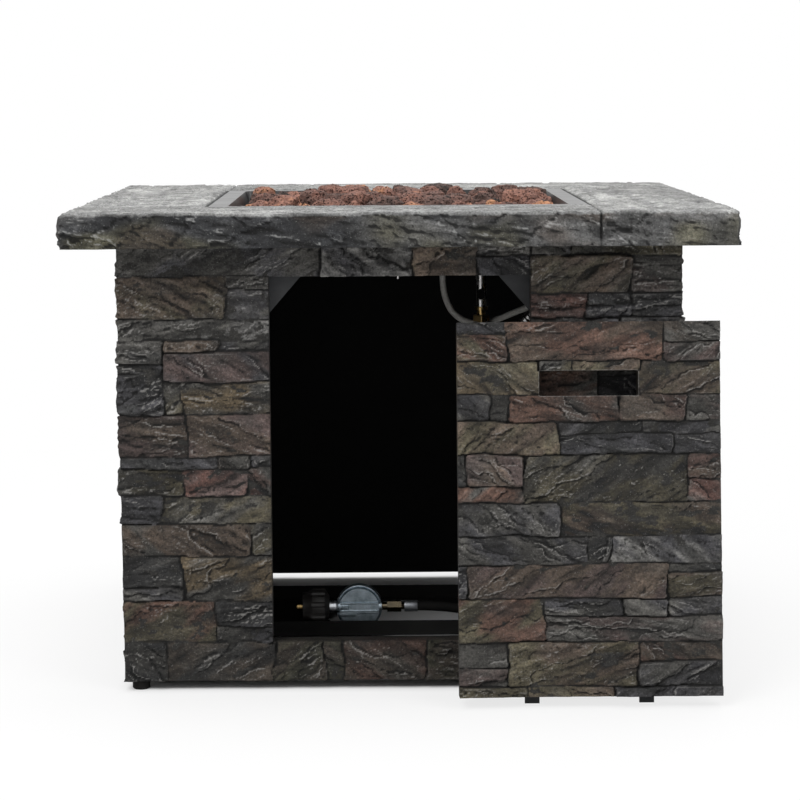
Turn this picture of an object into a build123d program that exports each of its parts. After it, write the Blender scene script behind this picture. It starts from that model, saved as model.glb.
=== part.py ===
from build123d import *
import math
import os

# A square gas fire table: a cast-stone top on four cast stacked-stone walls, a steel pan of lava rock
# over a ring burner, and a lift-off stone door that stands on the floor and leans on the front wall.
# Millimetres, +Z up, the front faces -Y, and the origin is on the floor under the table's centre.

os.makedirs("parts", exist_ok=True)

# Table
slab_side = 813
slab_thick = 43
table_height = 600
foot_height = 12
wall_face = 340
wall_core = 25
corner_lap = 8

# Stone relief, shared by the walls and the door
stone_relief = 11
stone_joint = 3
stone_bevel = 2.2
relief_shares = (0.55, 1.0, 0.7, 0.85)

# Doorway and door
doorway_width = 322
lintel_height = 39
sill_height = 49
door_gap = 3
door_lean = 8.5
door_x = 228
slot_width = 121
slot_height = 31
slot_drop = 59
slot_corner = 2.5

# Fits and sheet metal
clear = 0.3
run_fit = 0.1
overrun = 2
sheet = 2
plate = 3

# Places that several pieces share
wall_bottom = foot_height
wall_top = table_height - slab_thick
inner = wall_face - wall_core
front_half = wall_face + corner_lap
stone_front = wall_face + stone_relief
sill_top = wall_bottom + sill_height
doorway_top = wall_top - lintel_height
doorway_height = doorway_top - sill_top
doorway_half = doorway_width / 2
door_width = doorway_width - door_gap
door_height = doorway_height - door_gap
wall_turns = {"front": 0, "right": 90, "back": 180, "left": 270}


def save(piece, name):
    """Label a finished piece and write its file."""
    piece.part.label = name
    export_step(piece.part, f"parts/{name}.step")


def outside(wall):
    """The plane of a wall's stone joints: x along the wall, y up, z out of the table."""
    front = Plane(origin=(0, -wall_face, 0), x_dir=(1, 0, 0), z_dir=(0, -1, 0))
    return Plane(Rotation(0, 0, wall_turns[wall]) * front.location)


def cells(left, right, bottom, top, courses):
    """Cut a rectangle into courses from the top down, and each course into stones from the left.

    A course is (height share, stones). A stone is a width share, or (width share, courses) where
    smaller stones are stacked in its place. Gives (centre x, centre y, width, height) of each.
    """
    found = []
    upper = top
    height_sum = sum(course[0] for course in courses)
    for height_share, stones in courses:
        lower = upper - (top - bottom) * height_share / height_sum
        start = left
        width_sum = sum(stone[0] if isinstance(stone, tuple) else stone for stone in stones)
        for stone in stones:
            stacked = isinstance(stone, tuple)
            width_share = stone[0] if stacked else stone
            end = start + (right - left) * width_share / width_sum
            if stacked:
                found += cells(start, end, lower, upper, stone[1])
            else:
                found.append(((start + end) / 2, (lower + upper) / 2, end - start, upper - lower))
            start = end
        upper = lower
    return found


def lay_stones(face, stones):
    """Raise bevelled stones from a face of the part that is being built, in a few depths."""
    bevel_angle = math.degrees(math.atan2(stone_bevel, stone_relief))
    depths = len(relief_shares)
    for turn, relief_share in enumerate(relief_shares):
        with BuildSketch(face) as faces:
            for number, (across, up, width, height) in enumerate(stones):
                if (number + number // depths) % depths == turn:
                    with Locations((across, up)):
                        Rectangle(width - stone_joint, height - stone_joint)
        extrude(faces.sketch, amount=stone_relief * relief_share, taper=bevel_angle)


# Stone tables: course heights and stone widths, as shares of the field that they fill
door_courses_shares = [
    (131, [(168, [(38, [1]), (93, [1])]), 532, (183, [(64, [1]), (67, [1])])]),
    (113, [273, (337, [(30, [120, 217]), (83, [1])]), 273]),
    (90, [105, 65, 370, 230, 113]),
    (110, [340, (543, [(43, [275, 268]), (67, [385, 158])])]),
    (160, [(220, [(107, [30, 190]), (53, [1])]), 553, (110, [(83, [1]), (77, [1])])]),
    (112, [342, 541]),
    (94, [437, 73, 373]),
    (113, [30, 668, (185, [(30, [1]), (83, [1])])]),
    (146, [288, (595, [(61, [268, 142, 185]), (85, [1])])]),
    (150, [(165, [(86, [1]), (64, [1])]), 440, (278, [(66, [1]), (84, [1])])]),
    (34, [230, 290, 363]),
]
lintel_courses_shares = [(1, [205, 93, 65, (54, [(10, [1]), (16, [1])])])]
left_pier_courses_shares = [
    (41, [110, (41, [(13, [1]), (28, [1])])]),
    (21, [1]),
    (72, [(47, [(23, [1]), (10, [1]), (39, [1])]), (103, [(11, [55, 48]), (28, [1]), (33, [16, 87])])]),
    (42, [66, 80]),
    (11, [94, 32, 20]),
    (27, [62, 62, 22]),
    (28, [41, 106]),
    (32, [126, 21]),
    (44, [(60, [(31, [1]), (13, [1])]), 87]),
    (42, [92, (55, [(26, [1]), (16, [35, 20])])]),
]
right_pier_courses_shares = [
    (11, [42, 114]),
    (37, [102, (54, [(11, [1]), (26, [1])])]),
    (22, [56, (47, [(11, [1]), (11, [1])]), 53]),
    (27, [90, 66]),
    (13, [62, 94]),
    (38, [70, (86, [(15, [1]), (23, [1])])]),
    (22, [1]),
    (34, [48, 108]),
    (12, [88, 68]),
    (30, [104, 52]),
    (40, [(74, [(24, [1]), (16, [1])]), 82]),
    (27, [42, 114]),
    (34, [98, 58]),
    (32, [60, 96]),
]
base_courses_shares = [(1, [43, 109, 52, 18, 84, 72, 88, 97])]
side_courses_shares = [
    (28, [205, 92, 148, 96]),
    (40, [120, (150, [(15, [1]), (25, [90, 60])]), 176, 95]),
    (22, [172, 214, 155]),
    (46, [(96, [(28, [1]), (18, [1])]), 204, 128, (113, [(14, [1]), (32, [1])])]),
    (13, [150, 96, 188, 107]),
    (34, [86, 168, 74, 213]),
    (44, [212, (128, [(26, [1]), (18, [70, 58])]), 201]),
    (24, [140, 90, 190, 121]),
    (38, [72, 186, (166, [(13, [1]), (25, [1])]), 117]),
    (30, [196, 118, 142, 85]),
    (13, [108, 176, 120, 137]),
    (42, [(132, [(17, [1]), (25, [1])]), 160, 178, 71]),
    (36, [92, 208, 110, 131]),
    (28, [168, 130, 98, 145]),
    (45, [118, 176, 90, 157]),
]


def turned_round(courses):
    """The same courses in another order, each laid from its other end."""
    return [(height, stones[::-1]) for height, stones in courses[5:] + courses[:5]]


# Feet: moulded rubber pads under the corners of the front and back walls
foot_radius = 11
foot_edge = 1.5
foot_at = wall_face - wall_core / 2
foot_places = [(x * foot_at, y * foot_at) for x in (-1, 1) for y in (-1, 1)]

with BuildPart() as rubber_feet:
    with BuildSketch():
        with Locations(*foot_places):
            Circle(foot_radius)
    extrude(amount=foot_height)
    chamfer(rubber_feet.edges().group_by(Axis.Z)[0], foot_edge)
save(rubber_feet, "rubber_feet")

# Control plate on the right wall: the knob to the front of it, the igniter to the rear
panel_y = -66
panel_drop = 95
panel_z = wall_top - panel_drop
panel_length = 150
panel_height = 76
panel_corner = 6
panel_margin = 3
control_share = 0.25
knob_y = panel_y - control_share * panel_length
igniter_y = panel_y + control_share * panel_length
wall_hole_radius = 12
panel_face = outside("right")

# Front wall: cast stone with the doorway, one panel from corner to corner
front_stones = (
    cells(-front_half, doorway_half, doorway_top, wall_top, lintel_courses_shares)
    + cells(-front_half, -doorway_half, sill_top, doorway_top, left_pier_courses_shares)
    + cells(doorway_half, front_half, sill_top, wall_top, right_pier_courses_shares)
    + cells(-front_half, front_half, wall_bottom, sill_top, base_courses_shares)
)
wall_height = wall_top - wall_bottom
wall_middle = (wall_top + wall_bottom) / 2

with BuildPart() as front_wall:
    with BuildSketch(outside("front")):
        with Locations((0, wall_middle)):
            Rectangle(2 * front_half, wall_height)
        with Locations((0, sill_top + doorway_height / 2)):
            Rectangle(doorway_width, doorway_height, mode=Mode.SUBTRACT)
    extrude(amount=-wall_core)
    lay_stones(outside("front"), front_stones)
save(front_wall, "front_wall")

# Back wall: the same casting without a doorway
with BuildPart() as back_wall:
    with BuildSketch(outside("back")):
        with Locations((0, wall_middle)):
            Rectangle(2 * front_half, wall_height)
    extrude(amount=-wall_core)
    back_courses = turned_round(side_courses_shares)
    lay_stones(outside("back"), cells(-front_half, front_half, wall_bottom, wall_top, back_courses))
save(back_wall, "back_wall")

# Left wall: stands between the front and back walls
with BuildPart() as left_wall:
    with BuildSketch(outside("left")):
        with Locations((0, wall_middle)):
            Rectangle(2 * inner, wall_height)
    extrude(amount=-wall_core)
    lay_stones(outside("left"), cells(-inner, inner, wall_bottom, wall_top, side_courses_shares))
save(left_wall, "left_wall")

# Right wall: the stones leave a flat window for the control plate
with BuildPart() as right_wall:
    with BuildSketch(panel_face):
        with Locations((0, wall_middle)):
            Rectangle(2 * inner, wall_height)
    extrude(amount=-wall_core)
    right_courses = side_courses_shares[::-1]
    lay_stones(panel_face, cells(-inner, inner, wall_bottom, wall_top, right_courses))
    with BuildSketch(panel_face):
        with Locations((panel_y, panel_z)):
            Rectangle(panel_length + 2 * panel_margin, panel_height + 2 * panel_margin)
    extrude(amount=stone_relief + overrun, mode=Mode.SUBTRACT)
    with BuildSketch(panel_face):
        with Locations((knob_y, panel_z), (igniter_y, panel_z)):
            Circle(wall_hole_radius)
    extrude(amount=-wall_core, mode=Mode.SUBTRACT)
save(right_wall, "right_wall")

# Corner angles: one steel angle in each inner corner ties two walls together
angle_leg = 30
angle_bottom = 60
angle_top_gap = 27
angle_length = wall_top - angle_top_gap - angle_bottom

with BuildPart() as corner_angles:
    with BuildSketch(Plane.XY.offset(angle_bottom)):
        with PolarLocations(0, 4):
            with Locations((inner - angle_leg / 2, inner - sheet / 2)):
                Rectangle(angle_leg, sheet)
            with Locations((inner - sheet / 2, inner - angle_leg / 2)):
                Rectangle(sheet, angle_leg)
    extrude(amount=angle_length)
save(corner_angles, "corner_angles")

# Slab brackets: a short angle at the middle of each wall holds the top down
bracket_length = 60
bracket_leg = 30

with BuildPart() as slab_brackets:
    with PolarLocations(0, 4):
        with Locations((0, bracket_leg / 2 - inner, wall_top - sheet / 2)):
            Box(bracket_length, bracket_leg, sheet)
        with Locations((0, sheet / 2 - inner, wall_top - bracket_leg / 2)):
            Box(bracket_length, sheet, bracket_leg)
save(slab_brackets, "slab_brackets")

# Door stops: triangular plates behind the doorway's top corners, which the door's magnets hold on to
stop_reach = 105
stop_drop = 121
stop_lap = 40
stop_rise = 28
stop_corner_x = doorway_half + stop_lap
stop_corner_z = doorway_top + stop_rise

with BuildPart() as door_stops:
    with BuildSketch(Plane(origin=(0, -inner, 0), x_dir=(1, 0, 0), z_dir=(0, -1, 0))):
        with BuildLine():
            Polyline(
                (stop_corner_x, stop_corner_z),
                (stop_corner_x - stop_reach, stop_corner_z),
                (stop_corner_x, stop_corner_z - stop_drop),
                close=True,
            )
        make_face()
        mirror(about=Plane.YZ)
    extrude(amount=-plate)
save(door_stops, "door_stops")

# Tank tray: a folded steel tray from wall to wall, with a round seat for the cylinder's foot ring
tray_bottom = 15
tray_depth = 230
tray_lip = 20
tray_top = tray_bottom + sheet
tank_ring_radius = 101

with BuildPart() as tank_tray:
    with BuildSketch(Plane.XY.offset(tray_bottom)):
        Rectangle(2 * inner, tray_depth)
    extrude(amount=tray_lip)
    with BuildSketch(Plane.XY.offset(tray_top)):
        Rectangle(2 * (inner - sheet), tray_depth - 2 * sheet)
    extrude(amount=tray_lip, mode=Mode.SUBTRACT)
    with BuildSketch(Plane.XY.offset(tray_bottom)):
        Circle(tank_ring_radius)
    extrude(amount=sheet, mode=Mode.SUBTRACT)
save(tank_tray, "tank_tray")

# Fire pan: a square steel pan whose rim hangs on a ledge in the top
rim_side = 482
rim_gap = 5
rim_width = 22
rim_corner = 4
ledge_drop = 4
pan_depth = 74
pan_slope = 12.5
pan_side = rim_side - 2 * rim_width
pan_corner = 10
ledge_z = table_height - ledge_drop
pan_bottom = ledge_z - pan_depth
pan_floor = pan_bottom + sheet
drain_radius = 4
drain_share = 0.34
drain_at = drain_share * pan_side

# Ring burner and what stands on the pan's floor
ring_radius = 115
ring_tube = 7
ring_stand = 6
ring_middle = pan_floor + ring_stand + ring_tube
ring_under = ring_middle - ring_tube
ring_top = ring_middle + ring_tube
port_count = 12
port_radius = 1.6
stud_radius = 3
stud_hang = 26
stud_places = [(0, -ring_radius), (0, ring_radius), (-ring_radius, 0)]
mixer_radius = 7.5
mixer_bore = 6.3
mixer_drop = 74
mixer_bottom = pan_bottom - mixer_drop
hood_x = 72
hood_y = 8
sleeve_x = 62
sleeve_y = 8
sleeve_radius = 4.25

with BuildPart() as fire_pan:
    with BuildSketch(Plane.XY.offset(ledge_z)):
        RectangleRounded(rim_side, rim_side, rim_corner)
    extrude(amount=sheet)
    with BuildSketch(Plane.XY.offset(ledge_z)):
        RectangleRounded(pan_side, pan_side, pan_corner)
    extrude(amount=-pan_depth, taper=pan_slope)
    with BuildSketch(Plane.XY.offset(ledge_z + sheet)):
        RectangleRounded(pan_side - 2 * sheet, pan_side - 2 * sheet, pan_corner)
    extrude(amount=-pan_depth, taper=pan_slope, mode=Mode.SUBTRACT)
    with BuildSketch(Plane.XY.offset(pan_bottom)):
        with Locations((ring_radius, 0)):
            Circle(mixer_radius + run_fit)
        with Locations(*stud_places):
            Circle(stud_radius + run_fit)
        with Locations((sleeve_x, sleeve_y)):
            Circle(sleeve_radius + run_fit)
        with GridLocations(2 * drain_at, 2 * drain_at, 2, 2):
            Circle(drain_radius)
    extrude(amount=sheet, mode=Mode.SUBTRACT)
save(fire_pan, "fire_pan")

# Top: one casting made to look like four planks laid pinwheel round the pan, with a chiselled edge
edge_wander = 5
edge_rise_lean = 9
edge_fall_lean = 15
edge_belt_share = 0.45
seam_width = 4
seam_depth = 3
edge_shares = (0, 0.5, 0.1, 0.8, 0.3, 0.05, 0.6, 0.2, 0.9, 0.35)
rebate_side = rim_side + 2 * rim_gap
pan_gap = 4
slab_hole_side = pan_side + 2 * pan_gap
belt_z = wall_top + edge_belt_share * slab_thick
edge_step = slab_side / len(edge_shares)
seam_at = rim_side / 2
seam_length = (slab_side - rebate_side) / 2
edge_points = []
for turn in range(4):
    for step, edge_share in enumerate(edge_shares):
        corner = Vector(step * edge_step - slab_side / 2, edge_share * edge_wander - slab_side / 2)
        edge_points.append(corner.rotate(Axis.Z, 90 * turn))

with BuildPart() as top_slab:
    with BuildSketch(Plane.XY.offset(belt_z)) as slab_plan:
        with BuildLine():
            Polyline(*edge_points, close=True)
        make_face()
    extrude(amount=table_height - belt_z, taper=edge_rise_lean)
    extrude(slab_plan.sketch, amount=wall_top - belt_z, taper=edge_fall_lean)
    with BuildSketch(Plane.XY.offset(table_height)):
        Rectangle(rebate_side, rebate_side)
        with PolarLocations(0, 4):
            with Locations((seam_at, -(rebate_side + seam_length) / 2)):
                Rectangle(seam_width, seam_length + overrun)
    extrude(amount=-ledge_drop, mode=Mode.SUBTRACT)
    with BuildSketch(Plane.XY.offset(wall_top)):
        Rectangle(slab_hole_side, slab_hole_side)
        with PolarLocations(0, 4):
            with Locations((seam_at, -slab_side / 2)):
                Rectangle(seam_width, 2 * (edge_wander + seam_depth))
    extrude(amount=slab_thick, mode=Mode.SUBTRACT)
save(top_slab, "top_slab")

# Burner: a tube bent to a ring, with ports along its top and an inlet on the right
with BuildPart() as burner_ring:
    with BuildSketch(Plane.XZ):
        with Locations((ring_radius, ring_middle)):
            RegularPolygon(ring_tube, 8, major_radius=False, rotation=180 / 8)
    revolve(axis=Axis.Z)
    with BuildSketch(Plane.XY.offset(ring_middle)):
        with PolarLocations(ring_radius, port_count, start_angle=180 / port_count):
            Circle(port_radius)
    extrude(amount=ring_tube, mode=Mode.SUBTRACT)
save(burner_ring, "burner_ring")

# Studs carry the ring over the pan's floor, with a nut above and below the floor
nut_across = 11
nut_height = 5
with BuildPart() as burner_studs:
    with BuildSketch(Plane.XY.offset(pan_bottom - stud_hang)):
        with Locations(*stud_places):
            Circle(stud_radius)
    extrude(amount=ring_under - pan_bottom + stud_hang)
save(burner_studs, "burner_studs")

with BuildPart() as burner_nuts:
    with BuildSketch(Plane.XY.offset(pan_bottom - nut_height), Plane.XY.offset(pan_floor)):
        with Locations(*stud_places):
            RegularPolygon(nut_across / 2, 6, major_radius=False)
            Circle(stud_radius + run_fit, mode=Mode.SUBTRACT)
    extrude(amount=nut_height)
save(burner_nuts, "burner_nuts")

# Mixer tube: drops from the ring through the pan, with an air hole front and rear
air_hole_height = 16
air_hole_width = 9
air_hole_lift = 17
air_hole_z = mixer_bottom + air_hole_lift
locknut_across = 24
locknut_height = 6

with BuildPart() as mixer_tube:
    with BuildSketch(Plane.XY.offset(mixer_bottom)):
        with Locations((ring_radius, 0)):
            Circle(mixer_radius)
            Circle(mixer_bore, mode=Mode.SUBTRACT)
    extrude(amount=ring_under - mixer_bottom)
    with BuildSketch(Plane.XZ):
        with Locations((ring_radius, air_hole_z)):
            SlotOverall(air_hole_height, air_hole_width, rotation=90)
    extrude(amount=mixer_radius, both=True, mode=Mode.SUBTRACT)
save(mixer_tube, "mixer_tube")

with BuildPart() as mixer_locknut:
    with BuildSketch(Plane.XY.offset(pan_bottom - locknut_height)):
        with Locations((ring_radius, 0)):
            RegularPolygon(locknut_across / 2, 6, major_radius=False)
            Circle(mixer_radius + run_fit, mode=Mode.SUBTRACT)
    extrude(amount=locknut_height)
save(mixer_locknut, "mixer_locknut")

# Gas orifice: a turned brass fitting plugged into the foot of the mixer tube
spud_length = 8
orifice_flange_radius = 9
orifice_flange = 5
orifice_neck_radius = 6
orifice_neck = 7
orifice_hex_across = 22
orifice_hex = 8
stub_radius = 6.5
stub_length = 12
jet_radius = 1.5
orifice_hex_top = mixer_bottom - orifice_flange - orifice_neck
stub_top = orifice_hex_top - orifice_hex
stub_end = stub_top - stub_length

with BuildPart() as gas_orifice:
    for foot, height, radius in (
        (mixer_bottom, spud_length, mixer_bore - run_fit),
        (mixer_bottom - orifice_flange, orifice_flange, orifice_flange_radius),
        (orifice_hex_top, orifice_neck, orifice_neck_radius),
        (stub_end, stub_length, stub_radius),
    ):
        with BuildSketch(Plane.XY.offset(foot)):
            with Locations((ring_radius, 0)):
                Circle(radius)
        extrude(amount=height)
    with BuildSketch(Plane.XY.offset(stub_top)):
        with Locations((ring_radius, 0)):
            RegularPolygon(orifice_hex_across / 2, 6, major_radius=False, rotation=30)
    extrude(amount=orifice_hex)
    with BuildSketch(Plane.XY.offset(stub_end)):
        with Locations((ring_radius, 0)):
            Circle(jet_radius)
    extrude(amount=mixer_bottom + spud_length - stub_end, mode=Mode.SUBTRACT)
save(gas_orifice, "gas_orifice")

# Igniter hood: a folded guard that keeps the rock off the spark electrode and the thermocouple
hood_length = 54
hood_width = 46
hood_height = 38
hood_window_height = 18
hood_window_width = 24

with BuildPart() as igniter_hood:
    with BuildSketch(Plane.XY.offset(pan_floor)):
        with Locations((hood_x, hood_y)):
            Rectangle(hood_length, hood_width)
    extrude(amount=hood_height)
    with BuildSketch(Plane.XY.offset(pan_floor)):
        with Locations((hood_x, hood_y)):
            Rectangle(hood_length - 2 * sheet, hood_width - 2 * sheet)
    extrude(amount=hood_height - sheet, mode=Mode.SUBTRACT)
    with BuildSketch(Plane.YZ.offset(hood_x + hood_length / 2)):
        with Locations((hood_y, pan_floor + hood_height / 2)):
            Rectangle(hood_window_width, hood_window_height)
    extrude(amount=-hood_length, mode=Mode.SUBTRACT)
save(igniter_hood, "igniter_hood")

# Spark electrode and thermocouple: stand on the pan's floor inside the hood
electrode_shift = 8
electrode_spread = 10
electrode_x = hood_x + electrode_shift
electrode_y = hood_y - electrode_spread
thermocouple_y = hood_y + electrode_spread
ceramic_radius = 4
ceramic_height = 20
tip_radius = 1
tip_rise = 9
probe_radius = 2.5
probe_height = 26
probe_collar_radius = 4
probe_collar = 6

with BuildPart() as spark_electrode:
    with BuildSketch(Plane.XY.offset(pan_floor)):
        with Locations((electrode_x, electrode_y)):
            Circle(ceramic_radius)
    extrude(amount=ceramic_height)
    with BuildSketch(Plane.XY.offset(pan_floor + ceramic_height)):
        with Locations((electrode_x, electrode_y)):
            Circle(tip_radius)
    extrude(amount=tip_rise)
save(spark_electrode, "spark_electrode")

with BuildPart() as thermocouple:
    with BuildSketch(Plane.XY.offset(pan_floor)):
        with Locations((electrode_x, thermocouple_y)):
            Circle(probe_collar_radius)
    extrude(amount=probe_collar)
    with BuildSketch(Plane.XY.offset(pan_floor + probe_collar)):
        with Locations((electrode_x, thermocouple_y)):
            Circle(probe_radius)
    extrude(amount=probe_height)
save(thermocouple, "thermocouple")

# Lava rock: faceted lumps in two uneven layers, the lower one stepping up over the burner
rock_lower_top = pan_floor + hood_height
rock_rises = (30, 44, 37, 52)
rock_lower_lean = 10
rock_upper_lean = 24
rock_waist_share = 0.4
rock_centre_share = 0.5
rock_outline_shares = ((0, 0.4), (0.22, 0), (0.7, 0.03), (1, 0.36), (0.93, 0.78), (0.58, 1), (0.12, 0.86))
rock_lower_courses_shares = [
    (80, [70, 92, 62, 84, 88]),
    (76, [92, 66, 88, 70, 80]),
    (66, [80, 78, 74, 74, 90]),
    (88, [66, 94, 70, 92, 74]),
    (86, [88, 72, 84, 64, 88]),
]
rock_upper_courses_shares = [
    (52, [46, 62, 50, 58, 44, 66, 54, 34]),
    (60, [60, 48, 64, 46, 70, 50, 44, 32]),
    (46, [38, 54, 66, 50, 44, 62, 52, 48]),
    (58, [64, 46, 50, 68, 52, 42, 58, 34]),
    (50, [44, 66, 48, 54, 60, 50, 40, 52]),
    (56, [56, 50, 62, 44, 48, 66, 46, 42]),
    (48, [40, 58, 46, 64, 54, 44, 62, 46]),
    (44, [62, 44, 56, 50, 66, 48, 40, 48]),
]
pan_lean = math.tan(math.radians(pan_slope))
rock_lower_half = pan_side / 2 - 2 * sheet - pan_depth * pan_lean
rock_upper_half = rock_lower_half + hood_height * pan_lean


def over_ring(across, up, width, depth):
    """Whether a rock's cell reaches over the burner ring."""
    near = math.hypot(max(abs(across) - width / 2, 0), max(abs(up) - depth / 2, 0))
    far = math.hypot(abs(across) + width / 2, abs(up) + depth / 2)
    return near < ring_radius + ring_tube + clear and far > ring_radius - ring_tube - clear


def lay_rocks(found, foot, head, lean):
    """Add a lump to the part that is being built for each cell, flat at its foot and head."""
    waist = foot + rock_waist_share * (head - foot)
    with BuildSketch(Plane.XY.offset(waist)) as lumps:
        for number, (across, up, width, depth) in enumerate(found):
            side = 1 if number % 2 else -1
            way = 1 if number % 3 else -1
            points = [
                (
                    across + side * (share_x - rock_centre_share) * (width - clear),
                    up + way * (share_y - rock_centre_share) * (depth - clear),
                )
                for share_x, share_y in rock_outline_shares
            ]
            with BuildLine():
                Polyline(*points[:: side * way], close=True)
            make_face()
    extrude(lumps.sketch, amount=head - waist, taper=lean)
    extrude(lumps.sketch, amount=foot - waist, taper=lean)


lower_cells = cells(-rock_lower_half, rock_lower_half, -rock_lower_half, rock_lower_half,
                    rock_lower_courses_shares)
upper_cells = cells(-rock_upper_half, rock_upper_half, -rock_upper_half, rock_upper_half,
                    rock_upper_courses_shares)
hood_reach = (hood_length + hood_width) / 4
open_cells = [cell for cell in lower_cells if math.hypot(cell[0] - hood_x, cell[1] - hood_y) > hood_reach]

with BuildPart() as lava_rocks:
    lay_rocks([cell for cell in open_cells if not over_ring(*cell)],
              pan_floor + clear, rock_lower_top, rock_lower_lean)
    lay_rocks([cell for cell in open_cells if over_ring(*cell)],
              ring_top + clear, rock_lower_top, rock_lower_lean)
    kinds = len(rock_rises)
    for turn, rock_rise in enumerate(rock_rises):
        picked = [
            cell for number, cell in enumerate(upper_cells) if (number + number // kinds) % kinds == turn
        ]
        lay_rocks(picked, rock_lower_top + clear, rock_lower_top + clear + rock_rise, rock_upper_lean)
save(lava_rocks, "lava_rocks")

# Control plate: painted steel screwed over the window in the right wall's stones
stem_radius = 4
igniter_barrel_radius = 10

with BuildPart() as control_plate:
    with BuildSketch(panel_face):
        with Locations((panel_y, panel_z)):
            RectangleRounded(panel_length, panel_height, panel_corner)
        with Locations((knob_y, panel_z)):
            Circle(stem_radius + clear, mode=Mode.SUBTRACT)
        with Locations((igniter_y, panel_z)):
            Circle(igniter_barrel_radius + run_fit, mode=Mode.SUBTRACT)
    extrude(amount=sheet)
save(control_plate, "control_plate")

# Gas valve: a brass body inside the wall, its bonnet reaching through to the control plate
valve_width = 30
valve_height = 34
valve_length = 34
valve_corner = 5
valve_gap = 10
bonnet_radius = 9
stem_depth = 22
magnet_radius = 8
magnet_length = 20
valve_front = inner - valve_gap
valve_back = valve_front - valve_length
valve_middle = (valve_front + valve_back) / 2
valve_under = panel_z - valve_height / 2
valve_axis = Plane(origin=(0, knob_y, panel_z), x_dir=(0, 1, 0), z_dir=(1, 0, 0))

with BuildPart() as gas_valve:
    with BuildSketch(valve_axis.offset(valve_back)):
        RectangleRounded(valve_width, valve_height, valve_corner)
    extrude(amount=valve_length)
    with BuildSketch(valve_axis.offset(valve_front)):
        Circle(bonnet_radius)
    extrude(amount=wall_face - valve_front)
    with BuildSketch(valve_axis.offset(wall_face)):
        Circle(stem_radius + run_fit)
    extrude(amount=-stem_depth, mode=Mode.SUBTRACT)
    with BuildSketch(valve_axis.offset(valve_back)):
        Circle(stub_radius)
    extrude(amount=-stub_length)
    with BuildSketch(Plane.XY.offset(valve_under)):
        with Locations((valve_middle, knob_y)):
            Circle(stub_radius)
    extrude(amount=-stub_length)
    with BuildSketch(Plane.XZ.offset(-knob_y - valve_width / 2)):
        with Locations((valve_middle, panel_z)):
            Circle(magnet_radius)
    extrude(amount=-magnet_length)
save(gas_valve, "gas_valve")

# Valve stem and knob: the stem turns in the bonnet, the knob slides on the stem's flat to be pushed in
knob_travel = 4
knob_gap = 5
knob_length = 23
knob_skirt_radius = 19
knob_skirt = 6
knob_radius = 16
knob_lean = 6
knob_grip_width = 9
knob_grip_height = 7
stem_flat_share = 0.5
stem_reach = 13
knob_back = wall_face + sheet + knob_gap
stem_end = knob_back + stem_reach
flat_start = knob_back - knob_travel - clear
knob_bore_end = stem_end + knob_travel + 2 * clear

with BuildPart() as valve_stem:
    with BuildSketch(valve_axis.offset(wall_face - stem_depth + clear)):
        Circle(stem_radius)
    extrude(amount=stem_end - wall_face + stem_depth - clear)
    with BuildSketch(valve_axis.offset(flat_start)):
        with Locations((0, stem_radius)):
            Rectangle(2 * stem_radius, 2 * (1 - stem_flat_share) * stem_radius)
    extrude(amount=stem_end - flat_start, mode=Mode.SUBTRACT)
save(valve_stem, "valve_stem")

with BuildPart() as control_knob:
    with BuildSketch(valve_axis.offset(knob_back)):
        Circle(knob_skirt_radius)
    extrude(amount=knob_skirt)
    with BuildSketch(valve_axis.offset(knob_back + knob_skirt)):
        Circle(knob_radius)
    extrude(amount=knob_length - knob_skirt - knob_grip_height, taper=knob_lean)
    with BuildSketch(valve_axis.offset(knob_back + knob_skirt)):
        SlotOverall(2 * knob_radius, knob_grip_width, rotation=90)
    extrude(amount=knob_length - knob_skirt)
    with BuildSketch(valve_axis.offset(knob_back)):
        Circle(stem_radius + run_fit)
        with Locations((0, stem_radius + clear + run_fit)):
            Rectangle(4 * stem_radius, 2 * (1 - stem_flat_share) * stem_radius, mode=Mode.SUBTRACT)
    extrude(amount=knob_bore_end - knob_back, mode=Mode.SUBTRACT)
save(control_knob, "control_knob")

# Igniter: a plastic barrel through the plate and the wall, a nut inside, a battery and a push button
igniter_flange_radius = 14
igniter_flange = 3
igniter_button_radius = 7.5
igniter_button_stand = 7
igniter_travel = 4
button_sink = 12
button_edge = 1.5
battery_radius = 5.2
battery_length = 44.5
battery_nub_radius = 2
battery_nub = 1
igniter_shell = 5
igniter_nut_across = 27
igniter_nut = 8
terminal_radius = 4.25
terminal_length = 8
igniter_axis = Plane(origin=(0, igniter_y, panel_z), x_dir=(0, 1, 0), z_dir=(1, 0, 0))
igniter_front = wall_face + sheet + igniter_flange
button_foot = igniter_front - button_sink
button_stop = button_foot - igniter_travel - 2 * clear
battery_top = button_stop - battery_nub
battery_foot = battery_top - battery_length
igniter_back = battery_foot - igniter_shell
terminal_end = igniter_back - terminal_length

with BuildPart() as igniter_body:
    with BuildSketch(igniter_axis.offset(igniter_back)):
        Circle(igniter_barrel_radius)
    extrude(amount=igniter_front - igniter_back)
    with BuildSketch(igniter_axis.offset(wall_face + sheet)):
        Circle(igniter_flange_radius)
    extrude(amount=igniter_flange)
    with BuildSketch(igniter_axis.offset(terminal_end)):
        Circle(terminal_radius)
    extrude(amount=terminal_length)
    with BuildSketch(igniter_axis.offset(igniter_front)):
        Circle(igniter_button_radius + clear)
    extrude(amount=button_stop - igniter_front, mode=Mode.SUBTRACT)
    with BuildSketch(igniter_axis.offset(button_stop)):
        Circle(battery_radius + run_fit)
    extrude(amount=battery_foot - button_stop, mode=Mode.SUBTRACT)
save(igniter_body, "igniter_body")

with BuildPart() as igniter_locknut:
    with BuildSketch(igniter_axis.offset(inner - igniter_nut)):
        RegularPolygon(igniter_nut_across / 2, 6, major_radius=False)
        Circle(igniter_barrel_radius + run_fit, mode=Mode.SUBTRACT)
    extrude(amount=igniter_nut)
save(igniter_locknut, "igniter_locknut")

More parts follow.
